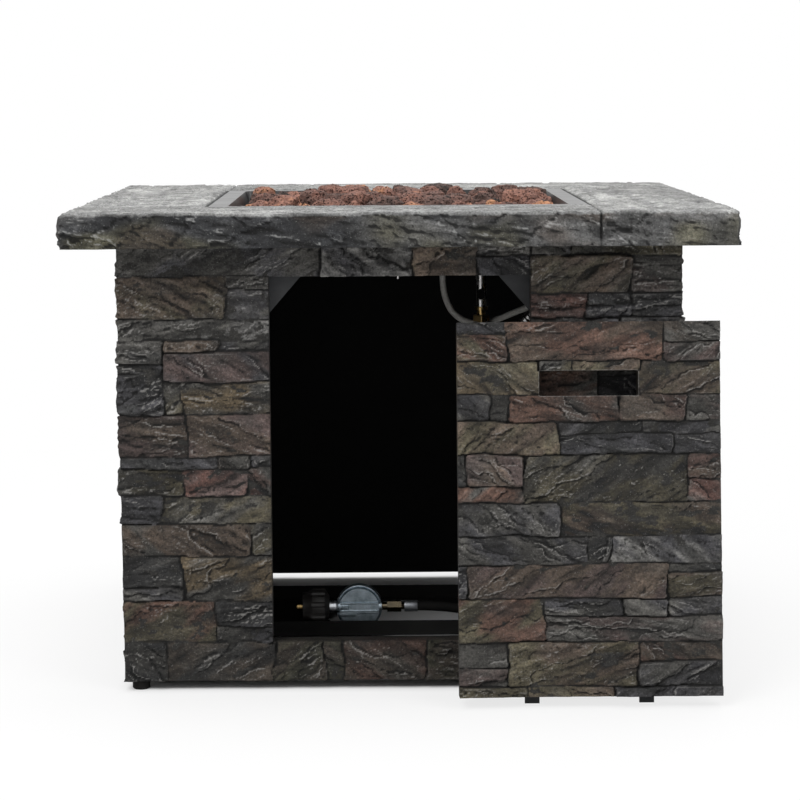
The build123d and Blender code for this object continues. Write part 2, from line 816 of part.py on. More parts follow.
with BuildPart() as igniter_battery:
    with BuildSketch(igniter_axis.offset(battery_foot)):
        Circle(battery_radius)
    extrude(amount=battery_length)
    with BuildSketch(igniter_axis.offset(battery_top)):
        Circle(battery_nub_radius)
    extrude(amount=battery_nub)
save(igniter_battery, "igniter_battery")

with BuildPart() as igniter_button:
    with BuildSketch(igniter_axis.offset(button_foot)):
        Circle(igniter_button_radius)
    extrude(amount=igniter_front + igniter_button_stand - button_foot)
    chamfer(igniter_button.edges().sort_by(Axis.X)[-1], button_edge)
save(igniter_button, "igniter_button")

# Regulator: a die-cast disc that stands on the tray behind its front lip, ports along X
regulator_x = -55
regulator_y = -85
regulator_radius = 31
regulator_rim = 6
regulator_face_radius = 27
regulator_face = 9
regulator_face_lean = 14
regulator_bar_width = 13
regulator_bar_rise = 3
regulator_cover_rim = 5
regulator_cover_radius = 25
regulator_cover = 10
regulator_vent_radius = 7
regulator_vent = 4
port_lift = 2
port_depth = 8
inlet_boss_radius = 8.5
outlet_boss_radius = 7
boss_reach = 22
regulator_z = tray_top + clear + regulator_radius
port_y = regulator_y - port_depth
port_z = regulator_z + port_lift
inlet_boss_end = regulator_x - regulator_radius
outlet_boss_end = regulator_x + regulator_radius
regulator_plane = Plane(origin=(regulator_x, regulator_y, regulator_z), x_dir=(1, 0, 0), z_dir=(0, -1, 0))
port_axis = Plane(origin=(0, port_y, port_z), x_dir=(0, 1, 0), z_dir=(1, 0, 0))

with BuildPart() as regulator_body:
    with BuildSketch(regulator_plane):
        Circle(regulator_radius)
    extrude(amount=regulator_rim)
    with BuildSketch(regulator_plane.offset(regulator_rim)):
        Circle(regulator_face_radius)
    extrude(amount=regulator_face, taper=regulator_face_lean)
    with BuildSketch(regulator_plane.offset(regulator_rim)):
        with Locations((0, port_lift)):
            Rectangle(2 * boss_reach, regulator_bar_width)
    extrude(amount=regulator_face + regulator_bar_rise)
    with BuildSketch(port_axis.offset(inlet_boss_end)):
        Circle(inlet_boss_radius)
    extrude(amount=boss_reach)
    with BuildSketch(port_axis.offset(outlet_boss_end)):
        Circle(outlet_boss_radius)
    extrude(amount=-boss_reach)
    with BuildSketch(regulator_plane):
        Circle(regulator_radius + overrun)
    extrude(amount=-(regulator_cover + inlet_boss_radius), mode=Mode.SUBTRACT)
save(regulator_body, "regulator_body")

with BuildPart() as regulator_cover_shell:
    with BuildSketch(regulator_plane):
        Circle(regulator_radius)
    extrude(amount=-regulator_cover_rim)
    with BuildSketch(regulator_plane.offset(-regulator_cover_rim)):
        Circle(regulator_cover_radius)
    extrude(amount=-regulator_cover, taper=regulator_face_lean)
    with BuildSketch(regulator_plane.offset(-regulator_cover_rim - regulator_cover)):
        Circle(regulator_vent_radius)
    extrude(amount=-regulator_vent)
save(regulator_cover_shell, "regulator_cover")

# Tank coupling: a ringed neck and a brass nipple, with a ribbed plastic hand nut that spins on it
neck_radius = 8.5
neck_groove = 1.2
neck_length = 9
neck_rings = 3
neck_ring_share = 0.7
nipple_radius = 5
nipple_length = 44
nipple_flange_radius = 11
nipple_flange = 3.5
nut_radius = 21
nut_length = 36
nut_wall = 8
nut_cavity_radius = 17
nut_rib_count = 10
nut_rib_radius = 3
neck_start = inlet_boss_end - neck_length
nut_back = neck_start - clear
nut_front = nut_back - nut_length
nipple_start = neck_start - nipple_length

with BuildPart() as inlet_neck:
    with BuildSketch(port_axis.offset(neck_start)):
        Circle(neck_radius - neck_groove)
    extrude(amount=neck_length)
    ring_pitch = neck_length / neck_rings
    for ring in range(neck_rings):
        with BuildSketch(port_axis.offset(neck_start + ring * ring_pitch)):
            Circle(neck_radius)
        extrude(amount=neck_ring_share * ring_pitch)
save(inlet_neck, "inlet_neck")

with BuildPart() as inlet_nipple:
    with BuildSketch(port_axis.offset(nipple_start)):
        Circle(nipple_radius)
    extrude(amount=nipple_length)
    with BuildSketch(port_axis.offset(nut_back - nut_wall - clear)):
        Circle(nipple_flange_radius)
    extrude(amount=-nipple_flange)
save(inlet_nipple, "inlet_nipple")

with BuildPart() as coupling_nut:
    with BuildSketch(port_axis.offset(nut_front)):
        Circle(nut_radius)
        with PolarLocations(nut_radius - nut_rib_radius / 2, nut_rib_count):
            Circle(nut_rib_radius)
    extrude(amount=nut_length)
    with BuildSketch(port_axis.offset(nut_front)):
        Circle(nut_cavity_radius)
    extrude(amount=nut_length - nut_wall, mode=Mode.SUBTRACT)
    with BuildSketch(port_axis.offset(nut_back)):
        Circle(nipple_radius + clear)
    extrude(amount=-nut_wall, mode=Mode.SUBTRACT)
save(coupling_nut, "coupling_nut")

# Outlet: brass hose tails at both ends of the gas hose, each crimped under a steel ferrule
tail_neck_radius = 5
tail_neck = 7
tail_hex_across = 14
tail_hex = 19
tail_barb_radius = 4.5
tail_gap = 4
ferrule_radius = 7.75
ferrule_length = 18
hose_radius = 6.5
hose_grip = 4
swivel_across = 19
swivel_length = 24
hex_start = outlet_boss_end + tail_neck
hex_end = hex_start + tail_hex
ferrule_start = hex_end + tail_gap
ferrule_end = ferrule_start + ferrule_length
swivel_top = valve_under - run_fit
swivel_foot = swivel_top - swivel_length
valve_ferrule_top = swivel_foot - tail_gap
valve_ferrule_foot = valve_ferrule_top - ferrule_length

with BuildPart() as outlet_fitting:
    with BuildSketch(port_axis.offset(outlet_boss_end)):
        Circle(tail_neck_radius)
    extrude(amount=tail_neck)
    with BuildSketch(port_axis.offset(hex_start)):
        RegularPolygon(tail_hex_across / 2, 6, major_radius=False)
    extrude(amount=tail_hex)
    with BuildSketch(port_axis.offset(hex_end)):
        Circle(tail_barb_radius)
    extrude(amount=ferrule_end - hose_grip - hex_end)
save(outlet_fitting, "outlet_fitting")

with BuildPart() as valve_fitting:
    with BuildSketch(Plane.XY.offset(swivel_foot)):
        with Locations((valve_middle, knob_y)):
            RegularPolygon(swivel_across / 2, 6, major_radius=False)
    extrude(amount=swivel_length)
    with BuildSketch(Plane.XY.offset(swivel_top)):
        with Locations((valve_middle, knob_y)):
            Circle(stub_radius + run_fit)
    extrude(amount=-stub_length, mode=Mode.SUBTRACT)
    with BuildSketch(Plane.XY.offset(swivel_foot)):
        with Locations((valve_middle, knob_y)):
            Circle(tail_barb_radius)
    extrude(amount=valve_ferrule_foot + hose_grip - swivel_foot)
save(valve_fitting, "valve_fitting")

with BuildPart() as hose_ferrules:
    with BuildSketch(port_axis.offset(ferrule_start)):
        Circle(ferrule_radius)
        Circle(tail_barb_radius + run_fit, mode=Mode.SUBTRACT)
    extrude(amount=ferrule_length)
    with BuildSketch(port_axis.offset(ferrule_end)):
        Circle(hose_radius + run_fit)
    extrude(amount=-hose_grip, mode=Mode.SUBTRACT)
    with BuildSketch(Plane.XY.offset(valve_ferrule_foot)):
        with Locations((valve_middle, knob_y)):
            Circle(ferrule_radius)
            Circle(tail_barb_radius + run_fit, mode=Mode.SUBTRACT)
    extrude(amount=ferrule_length)
    with BuildSketch(Plane.XY.offset(valve_ferrule_foot)):
        with Locations((valve_middle, knob_y)):
            Circle(hose_radius + run_fit)
    extrude(amount=hose_grip, mode=Mode.SUBTRACT)
save(hose_ferrules, "hose_ferrules")


# Hoses: each route is a list of points, rounded by arcs as large as its runs allow
arc_share = 0.45


def arc_radii(points):
    """The largest fair arc at each corner of a route."""
    radii = []
    for before, here, after in zip(points, points[1:], points[2:]):
        run_in = Vector(here) - Vector(before)
        run_out = Vector(after) - Vector(here)
        half_turn = math.radians(run_in.get_angle(run_out)) / 2
        radii.append(arc_share * min(run_in.length, run_out.length) / math.tan(half_turn))
    return radii


def report(name, piece, section, path, radii):
    """Print a hose's length, its tightest arc and how its volume compares with section times length."""
    ratio = piece.part.volume / (section * path.length)
    print(f"{name} length {path.length:.1f} tightest {min(radii):.1f} volume ratio {ratio:.4f}")


hose_tray_points = ((130, -84, 13), (190, -58, 7.5), (238, -14, 10), (266, 46, 29), (281, 92, 79))
hose_climb_shares = ((286, 100, 0.321), (287, 70, 0.465), (287, 14, 0.569), (287, -46, 0.649))
hose_first_run = 52
hose_last_share = 0.744
hose_climb = panel_z - tray_top
hose_route = [
    (ferrule_end - hose_grip, port_y, port_z),
    (ferrule_end - hose_grip + hose_first_run, port_y, port_z),
    *[(x, y, tray_top + lift) for x, y, lift in hose_tray_points],
    *[(x, y, tray_top + share * hose_climb) for x, y, share in hose_climb_shares],
    (valve_middle, knob_y, tray_top + hose_last_share * hose_climb),
    (valve_middle, knob_y, valve_ferrule_foot + hose_grip),
]
with BuildPart() as gas_hose:
    with BuildLine() as hose_line:
        hose_radii = arc_radii(hose_route)
        FilletPolyline(*hose_route, radius=hose_radii)
    hose_path = hose_line.wire()
    with BuildSketch(Plane(origin=hose_path @ 0, z_dir=hose_path % 0)):
        Circle(hose_radius)
    sweep()
save(gas_hose, "gas_hose")
report("gas_hose", gas_hose, math.pi * hose_radius**2, hose_path, hose_radii)

# Heat sleeve: woven glass over the igniter and thermocouple leads, from the pan to the igniter
sleeve_hang = ((64, 11, 61), (76, 17, 88), (102, 21, 103), (132, 19, 99))
sleeve_reach = ((160, 9, 86), (188, -4, 74), (215, -17, 65))
sleeve_first_run = 30
sleeve_last_run = 26
sleeve_route = [
    (sleeve_x, sleeve_y, pan_floor),
    (sleeve_x, sleeve_y, pan_floor - sleeve_first_run),
    *[(x, y, pan_floor - drop) for x, y, drop in sleeve_hang + sleeve_reach],
    (terminal_end - sleeve_last_run, igniter_y, panel_z),
    (terminal_end, igniter_y, panel_z),
]
with BuildPart() as heat_sleeve:
    with BuildLine() as sleeve_line:
        sleeve_radii = arc_radii(sleeve_route)
        FilletPolyline(*sleeve_route, radius=sleeve_radii)
    sleeve_path = sleeve_line.wire()
    with BuildSketch(Plane(origin=sleeve_path @ 0, z_dir=sleeve_path % 0)):
        Circle(sleeve_radius)
    sweep()
save(heat_sleeve, "heat_sleeve")
report("heat_sleeve", heat_sleeve, math.pi * sleeve_radius**2, sleeve_path, sleeve_radii)

# Connector: corrugated stainless hose from the orifice to the valve, with a nut at each end
rib_crest = 7.2
rib_valley = 6.2
connector_end = 15
rib_count = 18
rib_shares = ((0, rib_valley), (0.5, rib_crest))
union_grip = 2
union_across = 20
union_length = 24
union_gap = 1
connector_hang = ((125.5, -27.3, 70.3), (140.5, -66, 70.3), (151, -93, 41), (153, -97, 2), (175, -102, -33))
connector_first_run = 40
connector_last_run = 40
connector_tip = valve_back - stub_length - union_gap
connector_route = [
    (ring_radius, 0, stub_end - union_gap),
    (ring_radius, 0, stub_end - union_gap - connector_first_run),
    *[(x, y, stub_end - drop) for x, y, drop in connector_hang],
    (connector_tip - connector_last_run, knob_y, panel_z),
    (connector_tip, knob_y, panel_z),
]
connector_radii = arc_radii(connector_route)
with BuildPart() as gas_connector:
    with BuildLine(mode=Mode.PRIVATE) as connector_line:
        FilletPolyline(*connector_route, radius=connector_radii)
    connector_path = connector_line.wire()
    rib_pitch = (connector_path.length - 2 * connector_end) / rib_count
    stations = [(0, rib_valley)]
    for rib in range(rib_count):
        for rib_share, radius in rib_shares:
            stations.append((connector_end + (rib + rib_share) * rib_pitch, radius))
    stations.append((connector_path.length - connector_end, rib_valley))
    stations.append((connector_path.length, rib_valley))
    steady = Vector(0, 1, 0)
    for reach, radius in stations:
        ahead = connector_path % (reach / connector_path.length)
        steady = (steady - ahead * steady.dot(ahead)).normalized()
        spot = Plane(origin=connector_path @ (reach / connector_path.length), x_dir=steady, z_dir=ahead)
        with BuildSketch(spot):
            Circle(radius)
    loft(ruled=True)
save(gas_connector, "gas_connector")
connector_section = math.pi * rib_crest * rib_valley
report("gas_connector", gas_connector, connector_section, connector_path, connector_radii)

union_axes = [
    Plane(origin=(ring_radius, 0, stub_top - union_grip), z_dir=(0, 0, -1)),
    Plane(origin=(valve_back - union_grip, knob_y, panel_z), z_dir=(-1, 0, 0)),
]
with BuildPart() as connector_nuts:
    with BuildSketch(*union_axes):
        RegularPolygon(union_across / 2, 6, major_radius=False)
        Circle(stub_radius + run_fit, mode=Mode.SUBTRACT)
    extrude(amount=union_length)
save(connector_nuts, "connector_nuts")

# Door: a cast panel like the walls, with a finger slot, leaning on the front wall on two steel tabs
tab_width = 18
tab_length = 46
tab_drop = 10.6
tab_at = 70
magnet_width = 18
magnet_height = 12
magnet_depth = 5
magnet_inset = 4
lean_sin = math.sin(math.radians(door_lean))
lean_cos = math.cos(math.radians(door_lean))
door_back_y = -(stone_front + clear) - door_height * lean_sin
door_lift = tab_drop * lean_cos
door_plane = Plane(origin=(door_x, door_back_y, door_lift), x_dir=(1, 0, 0), z_dir=(0, -lean_cos, lean_sin))
slot_middle = door_height - slot_drop - slot_height / 2
magnet_x = door_width / 2 - magnet_inset - magnet_width / 2
magnet_y = door_height - magnet_inset - magnet_height / 2
door_stones = [
    stone
    for stone in cells(-door_width / 2, door_width / 2, 0, door_height, door_courses_shares)
    if abs(stone[0]) > slot_width / 4 or abs(stone[1] - slot_middle) > slot_height / 2
]

with BuildPart() as door_panel:
    with BuildSketch(door_plane):
        with Locations((0, door_height / 2)):
            Rectangle(door_width, door_height)
    extrude(amount=wall_core)
    lay_stones(door_plane.offset(wall_core), door_stones)
    with BuildSketch(door_plane):
        with Locations((0, slot_middle)):
            RectangleRounded(slot_width, slot_height, slot_corner)
    extrude(amount=wall_core + stone_relief + overrun, mode=Mode.SUBTRACT)
    with BuildSketch(door_plane):
        with Locations((-magnet_x, magnet_y), (magnet_x, magnet_y)):
            Rectangle(magnet_width, magnet_height)
    extrude(amount=magnet_depth, mode=Mode.SUBTRACT)
save(door_panel, "door_panel")

with BuildPart() as door_tabs:
    with BuildSketch(door_plane):
        with Locations((-tab_at, tab_length / 2 - tab_drop), (tab_at, tab_length / 2 - tab_drop)):
            Rectangle(tab_width, tab_length)
    extrude(amount=-plate)
save(door_tabs, "door_tabs")

with BuildPart() as door_magnets:
    with BuildSketch(door_plane):
        with Locations((-magnet_x, magnet_y), (magnet_x, magnet_y)):
            Rectangle(magnet_width, magnet_height)
    extrude(amount=magnet_depth)
save(door_magnets, "door_magnets")
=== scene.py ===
import math

import bmesh
import bpy
import numpy as np
from mathutils import Matrix, Vector


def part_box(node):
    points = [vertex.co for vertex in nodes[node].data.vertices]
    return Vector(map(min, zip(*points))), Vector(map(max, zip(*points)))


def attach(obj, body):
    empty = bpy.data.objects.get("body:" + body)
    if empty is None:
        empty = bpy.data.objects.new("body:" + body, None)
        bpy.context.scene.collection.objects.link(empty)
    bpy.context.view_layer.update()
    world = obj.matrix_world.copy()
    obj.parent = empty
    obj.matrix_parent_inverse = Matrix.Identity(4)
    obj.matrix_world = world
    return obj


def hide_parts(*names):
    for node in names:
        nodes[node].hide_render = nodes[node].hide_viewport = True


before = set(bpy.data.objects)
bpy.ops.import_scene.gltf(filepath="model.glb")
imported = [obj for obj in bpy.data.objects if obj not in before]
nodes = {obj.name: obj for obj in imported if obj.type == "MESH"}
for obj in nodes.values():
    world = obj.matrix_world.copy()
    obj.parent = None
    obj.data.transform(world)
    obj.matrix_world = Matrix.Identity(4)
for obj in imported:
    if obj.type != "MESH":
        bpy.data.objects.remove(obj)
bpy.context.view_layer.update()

# Studio: a camera a few metres in front of the doorway and a little above the table,
# a pale floor that keeps the object's shadow, and large soft lamps above and in front.
scene = bpy.context.scene
scene.view_settings.view_transform = "Standard"
camera_place = Vector((-0.02840545, -3.23872606, 0.749458185))
camera_yaw, camera_pitch, camera_roll = 0.00965182, 0.132084175, -0.00627390
camera_lens, camera_sensor, camera_far = 106.674, 36, 100
ahead = Vector((
    math.sin(camera_yaw) * math.cos(camera_pitch),
    math.cos(camera_yaw) * math.cos(camera_pitch),
    -math.sin(camera_pitch),
))
level = Vector((math.cos(camera_yaw), -math.sin(camera_yaw), 0))
upright = level.cross(ahead)
camera_right = math.cos(camera_roll) * level + math.sin(camera_roll) * upright
camera_up = math.cos(camera_roll) * upright - math.sin(camera_roll) * level
camera_turn = Matrix((camera_right, camera_up, -ahead)).transposed()
camera = bpy.data.objects.new("camera", bpy.data.cameras.new("camera"))
camera.data.lens = camera_lens
camera.data.sensor_width = camera_sensor
camera.data.clip_end = camera_far
camera.matrix_world = Matrix.Translation(camera_place) @ camera_turn.to_4x4()
scene.collection.objects.link(camera)
scene.camera = camera


def feed(tree, node, inputs):
    """Set a node's inputs: a socket is linked, and anything else is a plain value."""
    for name, value in inputs.items():
        if isinstance(value, bpy.types.NodeSocket):
            tree.links.new(value, node.inputs[name])
        else:
            node.inputs[name].default_value = value


def add_node(tree, kind, inputs, **settings):
    """A new node with its settings and its inputs, given back as its outputs."""
    node = tree.nodes.new(kind)
    for name, value in settings.items():
        setattr(node, name, value)
    feed(tree, node, inputs)
    return node.outputs


def link_math(tree, operation, first, second):
    """Two values joined by a sum or a product: either may be a plain number."""
    return add_node(tree, "ShaderNodeMath", {0: first, 1: second}, operation=operation)[0]


def link_range(tree, value, low, high, to_low, to_high, way="SMOOTHSTEP"):
    """A value spread from one range to another, and held inside it."""
    ends = {"Value": value, "From Min": low, "From Max": high, "To Min": to_low, "To Max": to_high}
    return add_node(tree, "ShaderNodeMapRange", ends, interpolation_type=way)["Result"]


def bare_finish(name):
    """A new material, its node tree and its shader."""
    made = bpy.data.materials.new(name)
    made.use_nodes = True
    return made, made.node_tree, made.node_tree.nodes["Principled BSDF"]


sky_glow, sky_seen = 0.55, 1.0
world = bpy.data.worlds.new("studio")
world.use_nodes = True
scene.world = world
sky = world.node_tree
sky_rays = add_node(sky, "ShaderNodeLightPath", {})
sky_mirrored = link_math(sky, "MAXIMUM", sky_rays["Is Glossy Ray"], sky_rays["Is Transmission Ray"])
sky_shown = link_math(sky, "MAXIMUM", sky_rays["Is Camera Ray"], sky_mirrored)
feed(sky, sky.nodes["Background"], {
    "Color": (1, 1, 1, 1),
    "Strength": link_range(sky, sky_shown, 0, 1, sky_glow, sky_seen),
})

floor_half, floor_pale, fade_reach = 30, 0.9, 4.0
fade_steps = ((0.082, 0.0), (0.087, 0.74), (0.2, 0.92), (0.4, 1.0))
floor_mesh = bpy.data.meshes.new("floor")
floor_corners = [(x * floor_half, y * floor_half, 0) for x, y in ((-1, -1), (1, -1), (1, 1), (-1, 1))]
floor_mesh.from_pydata(floor_corners, [], [(0, 1, 2, 3)])
floor = bpy.data.objects.new("floor", floor_mesh)
scene.collection.objects.link(floor)
floor_paint, floor_tree, floor_skin = bare_finish("floor_paint")
feed(floor_tree, floor_skin, {
    "Base Color": (floor_pale, floor_pale, floor_pale, 1), "Roughness": 0.9, "Specular IOR Level": 0.1,
})
floor_place = add_node(floor_tree, "ShaderNodeTexCoord", {})["Object"]
floor_size = add_node(floor_tree, "ShaderNodeVectorMath", {0: floor_place}, operation="ABSOLUTE")[0]
floor_parts = add_node(floor_tree, "ShaderNodeSeparateXYZ", {0: floor_size})
floor_reach = link_math(floor_tree, "MAXIMUM", floor_parts["X"], floor_parts["Y"])
floor_fade = floor_tree.nodes.new("ShaderNodeValToRGB")
for fade_at, fade_value in fade_steps:
    fade_stop = floor_fade.color_ramp.elements.new(fade_at)
    fade_stop.color = (fade_value, fade_value, fade_value, 1)
floor_fade.color_ramp.elements[0].color = (0, 0, 0, 1)
floor_fade.color_ramp.elements[-1].color = (1, 1, 1, 1)
feed(floor_tree, floor_fade, {"Fac": link_math(floor_tree, "DIVIDE", floor_reach, fade_reach)})
floor_rays = add_node(floor_tree, "ShaderNodeLightPath", {})
floor_share = link_math(floor_tree, "MULTIPLY", floor_rays["Is Camera Ray"], floor_fade.outputs["Color"])
floor_glow = add_node(floor_tree, "ShaderNodeEmission", {})["Emission"]
floor_mix = add_node(floor_tree, "ShaderNodeMixShader",
                     {"Fac": floor_share, 1: floor_skin.outputs["BSDF"], 2: floor_glow})
feed(floor_tree, floor_tree.nodes["Material Output"], {"Surface": floor_mix["Shader"]})
floor.data.materials.append(floor_paint)

lamp_aim = Vector((0, 0, 0.3))
for lamp_name, lamp_place, lamp_size, lamp_power in (
    ("key_lamp", (-1.6, -2.6, 2.9), 1.8, 62),
    ("fill_lamp", (2.4, -2.4, 2.0), 2.0, 30),
    ("top_lamp", (0.0, 0.6, 3.0), 2.2, 56),
):
    lamp = bpy.data.objects.new(lamp_name, bpy.data.lights.new(lamp_name, "AREA"))
    lamp.data.shape = "SQUARE"
    lamp.data.size = lamp_size
    lamp.data.energy = lamp_power
    lamp.location = lamp_place
    lamp.rotation_euler = (lamp_aim - Vector(lamp_place)).to_track_quat("-Z", "Y").to_euler()
    scene.collection.objects.link(lamp)


# Feet: moulded black rubber pads, pressed on under the corners of the walls.
# The wear group here is shared by every plain finish: soft blotches and fine grain.
def add_sockets(tree, side, *sockets):
    """Named sockets on the input or output side of a node group, each with its kind."""
    for name, kind in sockets:
        tree.interface.new_socket(name=name, in_out=side, socket_type="NodeSocket" + kind)


def link_mix(tree, factor, first, second):
    """Two colours mixed by a factor."""
    inputs = {"Factor": factor, "A": first, "B": second}
    return add_node(tree, "ShaderNodeMix", inputs, data_type="RGBA")["Result"]


wear_group = bpy.data.node_groups.new("surface_wear", "ShaderNodeTree")
add_sockets(wear_group, "INPUT", ("Blotch Scale", "Float"), ("Grain Scale", "Float"))
add_sockets(wear_group, "OUTPUT", ("Blotch", "Float"), ("Grain", "Float"))
wear_in = add_node(wear_group, "NodeGroupInput", {})
wear_place = add_node(wear_group, "ShaderNodeTexCoord", {})["Object"]
wear_blotch = {"Vector": wear_place, "Scale": wear_in["Blotch Scale"], "Detail": 5, "Roughness": 0.6}
wear_grain = {"Vector": wear_place, "Scale": wear_in["Grain Scale"], "Detail": 3}
add_node(wear_group, "NodeGroupOutput", {
    "Blotch": add_node(wear_group, "ShaderNodeTexNoise", wear_blotch)["Fac"],
    "Grain": add_node(wear_group, "ShaderNodeTexNoise", wear_grain)["Fac"],
})


def finish(name, colour, worn, metal, gloss, blotch=40, grain=900, bump=0.0002, shine=0.5):
    """A plain finish whose colour, gloss and grain drift over the surface."""
    made, tree, skin = bare_finish(name)
    scales = {"Blotch Scale": blotch, "Grain Scale": grain}
    wear = add_node(tree, "ShaderNodeGroup", scales, node_tree=wear_group)
    spread = link_range(tree, wear["Blotch"], 0.35, 0.7, 0, 1, "LINEAR")
    relief = add_node(tree, "ShaderNodeBump", {"Height": wear["Grain"], "Distance": bump, "Strength": 0.6})
    feed(tree, skin, {
        "Metallic": metal,
        "Specular IOR Level": shine,
        "Base Color": link_mix(tree, spread, (*colour, 1), (*worn, 1)),
        "Roughness": link_range(tree, wear["Blotch"], 0, 1, *gloss, "LINEAR"),
        "Normal": relief["Normal"],
    })
    return made


def dress(material, *names):
    """Give solids of the model a finish of their own."""
    for name in names:
        nodes[name].data.materials.clear()
        nodes[name].data.materials.append(material)


black_rubber = finish("black_rubber", (0.007, 0.007, 0.007), (0.014, 0.013, 0.012),
                      metal=0, gloss=(0.6, 0.85), shine=0.1)
dress(black_rubber, "rubber_feet")


# Walls: panels of light cast stone, moulded from stacked ledge stone and washed by hand in slate,
# rust and olive, with pale dry-brushed edges and black joints. Steel angles tie them at the corners.
def link_noise(tree, vector, scale, detail, roughness):
    """A noise texture on the given coordinates."""
    inputs = {"Vector": vector, "Scale": scale, "Detail": detail, "Roughness": roughness}
    return add_node(tree, "ShaderNodeTexNoise", inputs)["Fac"]


def link_scale(tree, colour, factor):
    """A colour made lighter or darker by a factor."""
    return add_node(tree, "ShaderNodeVectorMath", {0: colour, "Scale": factor}, operation="SCALE")[0]


stone_group = bpy.data.node_groups.new("washed_stone", "ShaderNodeTree")
add_sockets(stone_group, "INPUT", ("Wash", "Color"), ("Lift", "Float"), ("Brush", "Color"),
            ("Streaks", "Vector"))
add_sockets(stone_group, "OUTPUT", ("Color", "Color"), ("Roughness", "Float"), ("Height", "Float"))
stone_in = add_node(stone_group, "NodeGroupInput", {})
stone_place = add_node(stone_group, "ShaderNodeTexCoord", {})["Object"]
stone_drawn = {0: stone_place, 1: stone_in["Streaks"]}
stone_along = add_node(stone_group, "ShaderNodeVectorMath", stone_drawn, operation="MULTIPLY")[0]
stone_patch = link_noise(stone_group, stone_place, 28, 6, 0.65)
stone_fine = link_noise(stone_group, stone_place, 330, 6, 0.7)
stone_fleck = link_noise(stone_group, stone_place, 520, 4, 0.6)
stone_streak = link_noise(stone_group, stone_along, 1, 7, 0.68)
stone_shade = link_range(stone_group, stone_patch, 0.3, 0.7, 0.72, 1.3)
stone_mottle = link_range(stone_group, stone_fine, 0.28, 0.72, 0.5, 1.5)
stone_line = link_range(stone_group, stone_streak, 0.3, 0.72, 0.62, 1.38)
stone_tone = link_math(stone_group, "MULTIPLY", stone_shade, stone_mottle)
stone_tone = link_math(stone_group, "MULTIPLY", stone_tone, stone_line)
washed = link_scale(stone_group, stone_in["Wash"], stone_tone)
brush_edge = link_range(stone_group, stone_in["Lift"], 0.15, 0.9, 0, 0.6)
brush_ridge = link_range(stone_group, stone_streak, 0.58, 0.78, 0, 0.22)
brush_break = link_range(stone_group, stone_fine, 0.34, 0.58, 0.25, 1)
brush_fleck = link_range(stone_group, stone_fleck, 0.6, 0.72, 0, 0.38)
brush_edge = link_math(stone_group, "MULTIPLY", brush_edge, brush_break)
brush_ridge = link_math(stone_group, "MULTIPLY", brush_ridge, brush_break)
brush_all = link_math(stone_group, "MAXIMUM", brush_edge, brush_ridge)
brush_all = link_math(stone_group, "MAXIMUM", brush_all, brush_fleck)
brushed = link_mix(stone_group, brush_all, washed, stone_in["Brush"])
# Painted shade: hollows in and between the stones darken the colour down to a fifth.
shadowed = link_range(stone_group, stone_in["Lift"], -0.8, -0.08, 0.2, 1)
streak_high = link_math(stone_group, "MULTIPLY", stone_streak, 1.6)
add_node(stone_group, "NodeGroupOutput", {
    "Color": link_scale(stone_group, brushed, shadowed),
    "Roughness": link_range(stone_group, stone_patch, 0.3, 0.7, 0.62, 0.86),
    "Height": link_math(stone_group, "ADD", stone_fine, streak_high),
})


def stone_finish(name, brush, streaks, bump):
    """Cast stone: the wash painted on each stone, dry-brushed where it stands out, dark in its joints, with
    painted shade in its hollows.
    """
    made, tree, skin = bare_finish(name)
    paint = add_node(tree, "ShaderNodeGroup", {
        "Wash": add_node(tree, "ShaderNodeAttribute", {}, attribute_name="wash")["Color"],
        "Lift": add_node(tree, "ShaderNodeAttribute", {}, attribute_name="lift")["Fac"],
        "Brush": (*brush, 1),
        "Streaks": streaks,
    }, node_tree=stone_group)
    relief = add_node(tree, "ShaderNodeBump", {"Height": paint["Height"], "Distance": bump, "Strength": 0.9})
    feed(tree, skin, {
        "Specular IOR Level": 0.35,
        "Base Color": paint["Color"],
        "Roughness": paint["Roughness"],
        "Normal": relief["Normal"],
    })
    return made


wall_stone = stone_finish("washed_wall_stone", brush=(0.33, 0.32, 0.305), streaks=(40, 40, 110), bump=0.0034)
black_lining = finish("black_lining", (0.006, 0.006, 0.006), (0.011, 0.011, 0.011),
                      metal=0, gloss=(0.7, 0.9), blotch=12, grain=400, bump=0.0004, shine=0.2)
joint_wash, window_wash = (0.021, 0.020, 0.018), 0.02
dust_wash, dust_share = np.array((0.052, 0.050, 0.045)), 0.45
# The washes by letter: dark, slate, grey, light, olive, brown, rust, earth red, plum, yellow ochre,
# umber, a deep olive and a deep rust: these last three are darker tones that stand for painted shade on the
# sill's stones.
wash_tones = {
    "d": (0.024, 0.024, 0.024),
    "s": (0.050, 0.049, 0.053),
    "g": (0.072, 0.069, 0.063),
    "l": (0.170, 0.166, 0.159),
    "o": (0.084, 0.073, 0.048),
    "b": (0.086, 0.065, 0.050),
    "r": (0.124, 0.073, 0.055),
    "e": (0.104, 0.057, 0.047),
    "p": (0.080, 0.058, 0.053),
    "y": (0.118, 0.090, 0.056),
    "u": (0.042, 0.034, 0.027),
    "v": (0.042, 0.040, 0.027),
    "x": (0.060, 0.037, 0.029),
}


def smooth_noise(a, b, seed):
    """Even noise from -1 to 1 over a unit lattice."""
    size = 256
    table = np.random.default_rng(seed).uniform(-1, 1, (size, size))
    cell_a, cell_b = np.floor(a).astype(int), np.floor(b).astype(int)
    part_a, part_b = a - cell_a, b - cell_b
    part_a = part_a * part_a * (3 - 2 * part_a)
    part_b = part_b * part_b * (3 - 2 * part_b)
    cell_a, next_a, cell_b, next_b = cell_a % size, (cell_a + 1) % size, cell_b % size, (cell_b + 1) % size
    near = table[cell_a, cell_b] * (1 - part_a) + table[next_a, cell_b] * part_a
    far = table[cell_a, next_b] * (1 - part_a) + table[next_a, next_b] * part_a
    return near * (1 - part_b) + far * part_b


